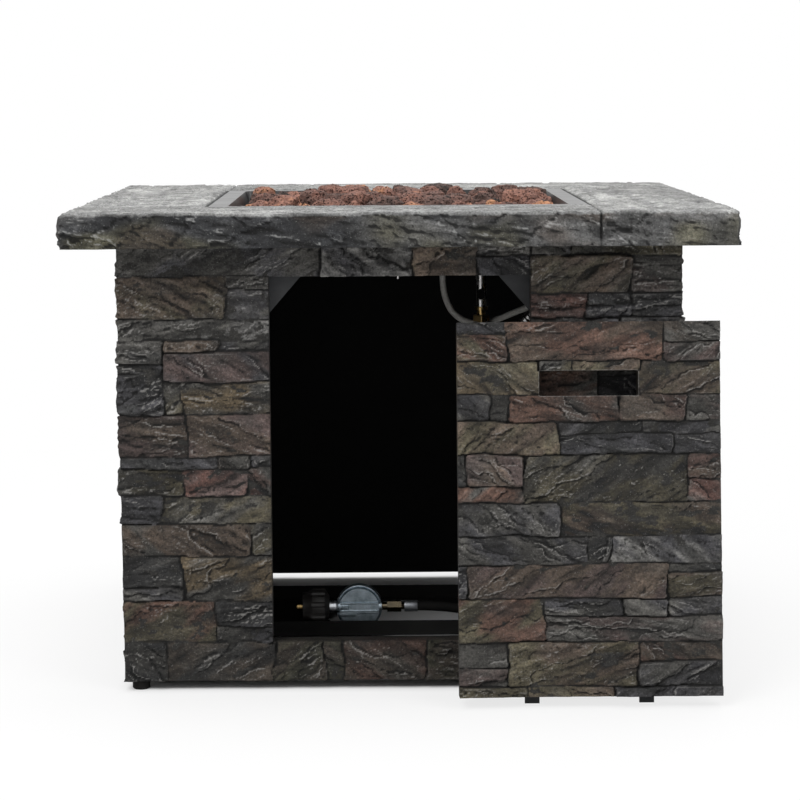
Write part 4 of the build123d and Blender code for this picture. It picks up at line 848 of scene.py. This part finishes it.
def chiselled_edge(ring_points, aim, depth, share, ring, ring_wash):
    """The slab's edge: split faces with ledges, fullest at the middle, broken at each plank's end."""
    side = np.where(np.abs(aim[:, 0]) > 0, 1 + aim[:, 0], 6 + aim[:, 1])
    run = np.where(np.abs(aim[:, 0]) > 0, ring_points[:, 1], ring_points[:, 0])
    a = np.broadcast_to(run + 3 * side, depth.shape)
    b = depth
    chance = np.random.default_rng(760)
    flake_count, flake_deep, deepest = 17, 0.0034, 0.007
    sway = 0.0016 * rough_noise(a / 0.12, b / 0.08, 761, 3)
    fibre = rough_noise(a / 0.03, b / 0.0065 + a / 0.05, 762, 4)
    lumps = rough_noise(a / 0.028, b / 0.018, 763, 4)
    drop = np.zeros(depth.shape)
    for number in np.unique(side):
        here = side == number
        low_a, high_a = a[0, here].min(), a[0, here].max()
        for lie in (0.6, -0.55):
            drop[:, here] += ledges(a[:, here], b[:, here], chance, low_a, high_a, slab_under, slab_top,
                                    flake_count, flake_deep, lie)
    facing = np.where(aim[:, 0] + aim[:, 1] > 0, 1, -1) * np.where(np.abs(aim[:, 1]) > 0, -1, 1)
    split = 1 - ease(np.abs(run - seam_at * facing), 0.0008, 0.0026)
    belly = -0.0016 * np.abs(2 * share - 1.0) ** 2.4
    moved = 0.0040 + belly + sway + 0.0020 * fibre + 0.0026 * lumps
    moved = moved - np.minimum(drop, deepest) - 0.004 * split * (share < 0.8)
    tone = ease(rough_noise(a / 0.07, b / 0.03, 764, 4), -0.4, 0.5)[..., None]
    olive = ease(rough_noise(a / 0.12, b / 0.07, 765, 3), 0.12, 0.55)[..., None]
    umber = ease(rough_noise(a / 0.1, b / 0.05, 766, 3), 0.2, 0.6)[..., None]
    paint = edge_dark * (1 - tone) + edge_pale * tone
    paint = paint * (1 - 0.6 * olive) + edge_olive * 0.6 * olive
    paint = paint * (1 - 0.5 * umber) + edge_umber * 0.5 * umber
    # Painted shade: the edge's paint darkens where a ledge sinks behind its break, the deeper the darker.
    paint = paint * (1 + 0.35 * fibre[..., None] - 60 * drop[..., None]) * (1 - 0.8 * split[..., None])
    field = raised_parts(moved, 1, 0.0005)
    worn = 0.35 + 0.65 * ease(rough_noise(a / 0.06, b / 0.05, 767, 3), -0.2, 0.4)
    return moved, np.clip(paint, 0.01, 0.5), np.where(field > 0, field * worn, field)


top_mesh = field_mesh("top_stonework", slab_lines, slab_lines, slab_top, slab_under,
                      (right_x, (0, 1, 0), up_z), slab_rise, slab_wash, slab_lift,
                      hole=(-slab_hole, slab_hole, -slab_hole, slab_hole),
                      rim_rows=edge_rows, rim_shape=chiselled_edge)
top_mesh.materials.append(slab_stone)
top_mesh.materials.append(black_lining)
stand_in("top_stonework", top_mesh, "table", "top_slab")

# Fire pan and burner: a black painted steel pan hangs by its rim, and a stainless ring burner stands
# in it on studs. Its mixer tube drops through the floor to a turned brass orifice.
pan_paint = finish("pan_paint", (0.018, 0.018, 0.019), (0.032, 0.031, 0.030),
                   metal=0, gloss=(0.22, 0.4), blotch=18, grain=800, bump=0.0001)
stainless = finish("stainless", (0.62, 0.61, 0.60), (0.50, 0.49, 0.48),
                   metal=1, gloss=(0.16, 0.36), blotch=60, grain=1200, bump=0.00005)
turned_brass = finish("turned_brass", (0.50, 0.35, 0.15), (0.33, 0.23, 0.10),
                      metal=1, gloss=(0.2, 0.4), blotch=90, grain=1500, bump=0.00004)
glazed_rod = finish("glazed_rod", (0.80, 0.78, 0.72), (0.62, 0.60, 0.55),
                    metal=0, gloss=(0.3, 0.5), blotch=120, bump=0.00005)
dress(pan_paint, "fire_pan")
dress(stainless, "burner_ring", "burner_studs", "burner_nuts", "mixer_tube", "mixer_locknut", "igniter_hood",
      "thermocouple")
dress(turned_brass, "gas_orifice")
dress(glazed_rod, "spark_electrode")
soften(0.0004, "gas_orifice", "mixer_locknut", "burner_nuts")

# Lava rock: loose lumps of porous volcanic rock, rust red to grey, that fill the pan over the burner.
# Each lump is a swollen ball pushed in and out by broad dents, then pitted by small pores.
rock_tree, rock_in = shape_tree("lava_lumps", ("Splits", "Int"), ("Dent Depth", "Float"),
                                ("Dent Scale", "Float"), ("Pore Depth", "Float"), ("Pore Scale", "Float"),
                                ("Stone", "Material"))
rock_spots = add_node(rock_tree, "GeometryNodeMeshToPoints", {"Mesh": rock_in["Geometry"]})["Points"]
rock_ball = add_node(rock_tree, "GeometryNodeMeshIcoSphere", {"Radius": 1, "Subdivisions": rock_in["Splits"]})
rock_size = add_node(rock_tree, "GeometryNodeInputNamedAttribute", {"Name": "size"}, data_type="FLOAT_VECTOR")
rock_turn = add_node(rock_tree, "FunctionNodeRandomValue", {"Max": (6.28, 6.28, 6.28), "Seed": 4},
                     data_type="FLOAT_VECTOR")
rock_spin = add_node(rock_tree, "FunctionNodeEulerToRotation", {"Euler": rock_turn["Value"]})
rock_copies = add_node(rock_tree, "GeometryNodeInstanceOnPoints", {
    "Points": rock_spots,
    "Instance": rock_ball["Mesh"],
    "Rotation": rock_spin["Rotation"],
    "Scale": rock_size["Attribute"],
})
rock_lumps = {"Geometry": rock_copies["Instances"]}
rock_shape = add_node(rock_tree, "GeometryNodeRealizeInstances", rock_lumps)["Geometry"]
for dent, dent_detail in (("Dent", 2), ("Pore", 3)):
    dent_inputs = {"Scale": rock_in[dent + " Scale"], "Detail": dent_detail}
    dent_noise = add_node(rock_tree, "ShaderNodeTexNoise", dent_inputs)["Fac"]
    dent_depth = link_math(rock_tree, "SUBTRACT", dent_noise, 0.5)
    dent_depth = link_math(rock_tree, "MULTIPLY", dent_depth, rock_in[dent + " Depth"])
    dent_normal = add_node(rock_tree, "GeometryNodeInputNormal", {})["Normal"]
    dent_push = link_scale(rock_tree, dent_normal, dent_depth)
    dent_move = {"Geometry": rock_shape, "Offset": dent_push}
    rock_shape = add_node(rock_tree, "GeometryNodeSetPosition", dent_move)["Geometry"]
end_tree(rock_tree, rock_shape, rock_in["Stone"])

lava, lava_tree, lava_skin = bare_finish("lava_stone")
lava_place = add_node(lava_tree, "ShaderNodeTexCoord", {})["Object"]
lava_lump = add_node(lava_tree, "ShaderNodeAttribute", {}, attribute_name="lump")["Fac"]
lava_lump = link_math(lava_tree, "MULTIPLY", lava_lump, 0.85)
lava_patch = link_range(lava_tree, link_noise(lava_tree, lava_place, 46, 5, 0.65), 0.3, 0.72, -0.15, 0.3)
lava_ramp = lava_tree.nodes.new("ShaderNodeValToRGB")
lava_ramp.color_ramp.elements[0].color = (0.045, 0.036, 0.033, 1)
lava_ramp.color_ramp.elements[1].color = (0.40, 0.20, 0.11, 1)
for lava_at, lava_colour in (
    (0.3, (0.12, 0.074, 0.063, 1)),
    (0.55, (0.19, 0.102, 0.082, 1)),
    (0.8, (0.25, 0.128, 0.096, 1)),
):
    lava_ramp.color_ramp.elements.new(lava_at).color = lava_colour
feed(lava_tree, lava_ramp, {"Fac": link_math(lava_tree, "ADD", lava_lump, lava_patch)})
# Pores: the bump sinks them, and the colour is darkened in them as painted shade.
lava_cells = add_node(lava_tree, "ShaderNodeTexVoronoi", {"Vector": lava_place, "Scale": 330})["Distance"]
lava_pore_and_shade = link_range(lava_tree, lava_cells, 0.10, 0.44, 0.14, 1.12)
lava_bump = add_node(lava_tree, "ShaderNodeBump", {"Height": lava_pore_and_shade, "Distance": 0.0036})
feed(lava_tree, lava_skin, {
    "Base Color": link_scale(lava_tree, lava_ramp.outputs["Color"], lava_pore_and_shade),
    "Roughness": 0.92,
    "Specular IOR Level": 0.2,
    "Normal": lava_bump["Normal"],
})

rock_chance = np.random.default_rng(31)
heap_top, heap_squash, pan_floor, pan_inside = 0.606, 0.35, 0.5255, 0.2095
lump_shape = {"Dent Depth": 0.017, "Dent Scale": 62.0, "Pore Depth": 0.0095, "Pore Scale": 210.0}
for bed_name, bed_z, bed_half, bed_rows, bed_small, bed_large, bed_splits in (
    ("lava_rock_base", 0.5530, 0.190, 7, 0.021, 0.028, 3),
    ("lava_rock_bed", 0.5810, 0.204, 12, 0.0105, 0.0225, 4),
):
    bed_count, bed_step = bed_rows ** 2, 2 * bed_half / bed_rows
    bed_row, bed_column = np.meshgrid(np.arange(bed_rows), np.arange(bed_rows))
    bed_size = rock_chance.uniform(bed_small, bed_large, bed_count)
    bed_nudge = rock_chance.uniform(-0.34, 0.34, (bed_count, 2)) * bed_step
    bed_spot = np.c_[bed_column.ravel(), bed_row.ravel()] * bed_step + 0.5 * bed_step - bed_half + bed_nudge
    bed_spot = np.clip(bed_spot, -bed_half + 0.7 * bed_size[:, None], bed_half - 0.7 * bed_size[:, None])
    bed_lift = bed_z + rock_chance.uniform(-0.009, 0.012, bed_count)
    bed_sizes = bed_size[:, None] * rock_chance.uniform(0.7, 1.3, (bed_count, 3))
    bed_mesh = bpy.data.meshes.new(bed_name)
    bed_mesh.from_pydata(np.c_[bed_spot, bed_lift].tolist(), [], [])
    bed_mesh.attributes.new("size", "FLOAT_VECTOR", "POINT").data.foreach_set("vector", bed_sizes.ravel())
    bed_mesh.attributes.new("lump", "FLOAT", "POINT").data.foreach_set(
        "value", rock_chance.uniform(0, 1, bed_count))
    rocks = grown(bed_name, bpy.data.objects.new(bed_name + "_spots", bed_mesh), rock_tree,
                  {"Splits": bed_splits, "Stone": lava, **lump_shape})
    rock_co = np.empty(len(rocks.vertices) * 3)
    rocks.vertices.foreach_get("co", rock_co)
    rock_co = rock_co.reshape(-1, 3)
    rock_z = rock_co[:, 2]
    rock_z = np.where(rock_z > heap_top, heap_top + (rock_z - heap_top) * heap_squash, rock_z)
    rock_co[:, 2] = np.maximum(rock_z, pan_floor)
    rock_co[:, :2] = np.clip(rock_co[:, :2], -pan_inside, pan_inside)
    rocks.vertices.foreach_set("co", rock_co.ravel())
    rocks.update()
    stand_in(bed_name, rocks, "table", "lava_rocks")

# Controls on the right wall: a black painted plate with the gas knob and the igniter's push button.
# The brass valve, the igniter's barrel, its nut and its battery are behind it, inside the cabinet.
moulded_black = finish("moulded_black", (0.022, 0.020, 0.019), (0.034, 0.031, 0.029),
                       metal=0, gloss=(0.38, 0.55), blotch=50, grain=1100, bump=0.00012)
battery_sleeve = finish("battery_sleeve", (0.16, 0.15, 0.05), (0.10, 0.10, 0.05),
                        metal=0.3, gloss=(0.3, 0.45), blotch=60, bump=0.00003)
dress(pan_paint, "control_plate")
dress(turned_brass, "gas_valve")
dress(stainless, "valve_stem")
dress(moulded_black, "control_knob", "igniter_body", "igniter_locknut", "igniter_button")
dress(battery_sleeve, "igniter_battery")
soften(0.0007, "control_knob", "igniter_body", "gas_valve")
soften(0.0005, "control_plate")
plate_face, plate_y, plate_z, screw_across, screw_up = 0.3425, -0.066, 0.462, 0.066, 0.029
plate_spots = [((plate_face, plate_y + side * screw_across, plate_z + rise * screw_up), (1, 0, 0))
               for side in (-1, 1) for rise in (-1, 1)]
screws_at("plate_screws", "table", plate_spots, radius=0.0038, height=0.003, metal=stainless)

# Regulator: a zinc die-casting that stands on the tray, with a ringed chrome neck, a brass nipple and a
# ribbed black hand nut on its inlet. A brass hose tail with a crimped ferrule leaves its outlet.
zinc_casting = finish("zinc_casting", (0.50, 0.58, 0.64), (0.26, 0.32, 0.36),
                      metal=0.9, gloss=(0.26, 0.46), blotch=90, grain=700, bump=0.0004)
bright_chrome = finish("bright_chrome", (0.66, 0.69, 0.72), (0.46, 0.49, 0.52),
                       metal=1, gloss=(0.28, 0.42), blotch=60, bump=0.00003)
aged_brass = finish("aged_brass", (0.105, 0.086, 0.055), (0.055, 0.047, 0.036),
                    metal=1, gloss=(0.2, 0.36), blotch=110, grain=1500, bump=0.00005)
dull_steel = finish("dull_steel", (0.27, 0.28, 0.30), (0.18, 0.19, 0.20),
                    metal=1, gloss=(0.38, 0.55), blotch=80, bump=0.0001)
dress(zinc_casting, "regulator_cover")
dress(bright_chrome, "inlet_neck")
dress(turned_brass, "inlet_nipple", "valve_fitting", "connector_nuts")
dress(aged_brass, "outlet_fitting")
dress(dull_steel, "hose_ferrules")
soften(0.0006, "regulator_cover")
soften(0.0004, "outlet_fitting", "valve_fitting", "connector_nuts", "hose_ferrules")


def turned(section, axis_y, axis_z, sides, closed=False, groove=0.0):
    """Rings about a level axis, and their faces: a row is a place, a radius and a share of the groove."""
    turns = np.linspace(0, 2 * math.pi, sides, endpoint=False)
    points, faces = [], []
    for place, radius, grooved in section:
        reach = radius - grooved * groove
        ring = [np.full(sides, place), axis_y + reach * np.cos(turns), axis_z + reach * np.sin(turns)]
        points += np.stack(ring, -1).tolist()
    for row in range(len(section) if closed else len(section) - 1):
        near, far = row * sides, (row + 1) % len(section) * sides
        faces += [(near + k, near + (k + 1) % sides, far + (k + 1) % sides, far + k) for k in range(sides)]
    return points, faces


def cast_mesh(name, points, faces, crease, material):
    """A closed mesh, merged and facing outwards, smooth but for edges sharper than the crease."""
    mesh = bpy.data.meshes.new(name)
    mesh.from_pydata(points, [], faces)
    edit = bmesh.new()
    edit.from_mesh(mesh)
    bmesh.ops.remove_doubles(edit, verts=edit.verts, dist=1e-6)
    bmesh.ops.recalc_face_normals(edit, faces=edit.faces)
    edit.to_mesh(mesh)
    edit.free()
    mesh.shade_smooth()
    mesh.set_sharp_from_angle(angle=math.radians(crease))
    mesh.materials.append(material)
    return mesh


cover_low, cover_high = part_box("regulator_cover")
disc_x, disc_z = (cover_low[0] + cover_high[0]) / 2, (cover_low[2] + cover_high[2]) / 2
disc_y, disc_radius = cover_low[1], (cover_high[0] - cover_low[0]) / 2
disc_rings, disc_sides, boss_sides, port_lift, port_ahead = 62, 240, 32, 0.002, 0.008
face_high, bar_high, rib_high, pill_high, step_deep = 0.0126, 0.0016, 0.0009, 0.0016, 0.0012
groove_floor, lip_high, lip_round = 0.0040, 0.0040, 0.0014
disc_ring, disc_turn = np.meshgrid(np.linspace(0, disc_radius, disc_rings + 1)[1:],
                                   np.linspace(0, 2 * math.pi, disc_sides, endpoint=False), indexing="ij")
disc_a, disc_b = disc_ring * np.cos(disc_turn), disc_ring * np.sin(disc_turn)
from_bar = np.abs(disc_b - port_lift)
bar_mask = 1 - ease(from_bar, 0.0060, 0.0067)
rib_mask = ease(from_bar, 0.0040, 0.0046) * bar_mask
pill_mask = (1 - ease(from_bar, 0.0018, 0.0026)) * (1 - ease(np.abs(disc_a + 0.0190), 0.0040, 0.0050))
step_line = -0.0105 + 0.0032 * ease(disc_a, -0.006, -0.003)
step_mask = (1 - ease(disc_b, step_line - 0.0003, step_line + 0.0003)) * (1 - bar_mask)
face_rise = face_high + bar_high * bar_mask + rib_high * rib_mask
face_rise = face_rise + pill_high * pill_mask - step_deep * step_mask
lip_rise = groove_floor + lip_high * ease(disc_ring, 0.0289, 0.0295)
lip_rise = lip_rise - lip_round * ease(disc_ring, 0.0303, 0.0310)
disc_rise = lip_rise + (face_rise - lip_rise) * (1 - ease(disc_ring, 0.0271, 0.0278))
casting_points = np.stack([disc_x + disc_a, disc_y - disc_rise, disc_z + disc_b], -1).reshape(-1, 3).tolist()
casting_points += [(place_x, disc_y, place_z) for place_x, _, place_z in casting_points[-disc_sides:]]
disc_end = len(casting_points)
casting_faces = [tuple(range(disc_sides)), tuple(range(disc_end - disc_sides, disc_end))]
for inner in range(0, disc_rings * disc_sides, disc_sides):
    outer = inner + disc_sides
    casting_faces += [(inner + k, outer + k, outer + (k + 1) % disc_sides, inner + (k + 1) % disc_sides)
                      for k in range(disc_sides)]
for boss_profile in (
    ((-0.0310, 0.0), (-0.0310, 0.0074), (-0.0304, 0.0079), (-0.0250, 0.0079), (-0.0244, 0.0070),
     (-0.0160, 0.0070), (-0.0160, 0.0)),
    ((0.0160, 0.0), (0.0160, 0.0062), (0.0304, 0.0062), (0.0310, 0.0056), (0.0310, 0.0)),
):
    boss_start = len(casting_points)
    boss_section = [(disc_x + place, radius, 0) for place, radius in boss_profile]
    boss_points, boss_faces = turned(boss_section, disc_y - port_ahead, disc_z + port_lift, boss_sides)
    casting_points += boss_points
    casting_faces += [tuple(boss_start + corner for corner in face) for face in boss_faces]
casting_mesh = cast_mesh("regulator_casting", casting_points, casting_faces, crease=40, material=zinc_casting)
stand_in("regulator_casting", casting_mesh, "table", "regulator_body")

nut_low, nut_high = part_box("coupling_nut")
nut_y, nut_z = (nut_low[1] + nut_high[1]) / 2, (nut_low[2] + nut_high[2]) / 2
nut_front, nut_back = nut_low[0], nut_high[0]
nut_sides, nut_ribs, groove_deep = 160, 10, 0.0024
drum_radius, drum_edge, skirt_radius = 0.0242, 0.0236, 0.0192
cavity_radius, bore_radius, nut_wall = 0.0170, 0.0053, 0.0080
nut_section = (
    (nut_back, bore_radius, 0), (nut_back, 0.0150, 0), (nut_back - 0.0008, 0.0160, 0),
    (nut_back - 0.0055, drum_edge, 0.6), (nut_back - 0.0070, drum_radius, 1),
    (nut_back - 0.0225, drum_radius, 1), (nut_back - 0.0240, drum_edge, 0.6), (nut_back - 0.0290, 0.0200, 0),
    (nut_front + 0.0006, skirt_radius, 0), (nut_front, skirt_radius - 0.0006, 0),
    (nut_front, cavity_radius + 0.0006, 0), (nut_front + 0.0006, cavity_radius, 0),
    (nut_back - nut_wall, cavity_radius, 0), (nut_back - nut_wall, bore_radius, 0),
)
nut_turns = np.linspace(0, 2 * math.pi, nut_sides, endpoint=False)
nut_groove = groove_deep * (1 - ease(np.cos(nut_ribs * nut_turns), -0.55, -0.1))
nut_points, nut_faces = turned(nut_section, nut_y, nut_z, nut_sides, closed=True, groove=nut_groove)
nut_mesh = cast_mesh("hand_nut", nut_points, nut_faces, crease=35, material=moulded_black)
stand_in("hand_nut", nut_mesh, "coupling_nut", "coupling_nut")

# Gas hose: black rubber hose, crimped at both ends, that lies on the tray and climbs the right wall
# to the valve. Its line is one smooth curve that takes the route's points as its control points.
hose_radius = 0.0065
hose_route = [
    (0.020, -0.093, 0.0503), (0.072, -0.093, 0.0503), (0.130, -0.084, 0.030), (0.190, -0.058, 0.0245),
    (0.238, -0.014, 0.027), (0.266, 0.046, 0.046), (0.281, 0.092, 0.096), (0.286, 0.100, 0.1598),
    (0.287, 0.070, 0.2239), (0.287, 0.014, 0.2702), (0.287, -0.046, 0.3058), (0.288, -0.1035, 0.3481),
    (0.288, -0.1035, 0.4029),
]


def route_curve(name, route, radius):
    """One smooth curve with the route's points as its control points."""
    line = bpy.data.curves.new(name, "CURVE")
    line.dimensions = "3D"
    line.resolution_u = 14
    line.bevel_depth = radius
    line.bevel_resolution = 6
    line.use_fill_caps = True
    spline = line.splines.new("NURBS")
    spline.points.add(len(route) - 1)
    for point, place in zip(spline.points, route):
        point.co = (*place, 1)
    spline.order_u = 3
    spline.use_endpoint_u = True
    return line


hose_line = route_curve("gas_hose_run", hose_route, hose_radius)
hose_line.materials.append(black_rubber)
hose = stand_in("gas_hose_run", hose_line, "table", "gas_hose")

# Heat sleeve: pale woven glass over the igniter's and the thermocouple's leads, from the pan's floor
# down and across to the back of the igniter.
sleeve_radius = 0.00425
sleeve_route = [
    (0.062, 0.008, 0.524), (0.062, 0.008, 0.494), (0.064, 0.011, 0.463), (0.076, 0.017, 0.436),
    (0.102, 0.021, 0.421), (0.132, 0.019, 0.425), (0.160, 0.009, 0.438), (0.188, -0.004, 0.450),
    (0.215, -0.017, 0.459), (0.2439, -0.0285, 0.462), (0.2699, -0.0285, 0.462),
]
woven_glass = finish("woven_glass", (0.52, 0.51, 0.48), (0.36, 0.35, 0.33),
                     metal=0, gloss=(0.7, 0.9), blotch=260, grain=1700, bump=0.0006)
sleeve_line = route_curve("heat_sleeve_run", sleeve_route, sleeve_radius)
sleeve_line.materials.append(woven_glass)
sleeve = stand_in("heat_sleeve_run", sleeve_line, "table", "heat_sleeve")

# Connector: corrugated stainless hose between the orifice and the valve, with a nut at each end.
# Its ribs are waves in the radius of one tube that follows the route, left plain at both ends.
connector_route = [
    (0.115, 0.0, 0.415), (0.115, 0.0, 0.375), (0.1255, -0.0273, 0.3457), (0.1405, -0.066, 0.3457),
    (0.151, -0.093, 0.375), (0.153, -0.097, 0.414), (0.175, -0.102, 0.449), (0.218, -0.1035, 0.462),
    (0.258, -0.1035, 0.462),
]
connector_sizes = {"Tube Radius": 0.0061, "Rib Height": 0.0011, "Rib Pitch": 0.0052, "Plain End": 0.015}
rib_step, rib_sides = 0.0007, 24
rib_tree, rib_in = shape_tree("ribbed_tube", ("Tube Radius", "Float"), ("Rib Height", "Float"),
                              ("Rib Pitch", "Float"), ("Plain End", "Float"), ("Metal", "Material"))
rib_reach = add_node(rib_tree, "GeometryNodeSplineParameter", {})["Length"]
rib_total = add_node(rib_tree, "GeometryNodeSplineLength", {})["Length"]
rib_turns = link_math(rib_tree, "DIVIDE", rib_reach, rib_in["Rib Pitch"])
rib_wave = link_math(rib_tree, "SINE", link_math(rib_tree, "MULTIPLY", rib_turns, 2 * math.pi), 0)
rib_half = link_math(rib_tree, "MULTIPLY", link_math(rib_tree, "ADD", rib_wave, 1.0), 0.5)
rib_left = link_math(rib_tree, "SUBTRACT", rib_total, rib_reach)
rib_near = link_math(rib_tree, "MINIMUM", rib_reach, rib_left)
rib_where = link_math(rib_tree, "GREATER_THAN", rib_near, rib_in["Plain End"])
rib_swell = link_math(rib_tree, "MULTIPLY", rib_half, rib_where)
rib_swell = link_math(rib_tree, "MULTIPLY", rib_swell, rib_in["Rib Height"])
rib_steps = {"Curve": rib_in["Geometry"], "Length": rib_step}
rib_tube = add_node(rib_tree, "GeometryNodeCurveToMesh", {
    "Curve": add_node(rib_tree, "GeometryNodeResampleCurve", rib_steps, mode="LENGTH")["Curve"],
    "Profile Curve": add_node(rib_tree, "GeometryNodeCurvePrimitiveCircle",
                              {"Resolution": rib_sides, "Radius": 1})["Curve"],
    "Scale": link_math(rib_tree, "ADD", rib_swell, rib_in["Tube Radius"]),
    "Fill Caps": True,
})
rib_smooth = add_node(rib_tree, "GeometryNodeSetShadeSmooth", {"Geometry": rib_tube["Mesh"]})
end_tree(rib_tree, rib_smooth["Geometry"], rib_in["Metal"])
connector_line = bpy.data.objects.new("connector_line", route_curve("connector_line", connector_route, 0))
connector_path = [tuple(vertex.co) for vertex in bpy.data.meshes.new_from_object(connector_line).vertices]
connector_mesh = grown("gas_connector_run", connector_line, rib_tree, {**connector_sizes, "Metal": stainless})
connector = stand_in("gas_connector_run", connector_mesh, "table", "gas_connector")
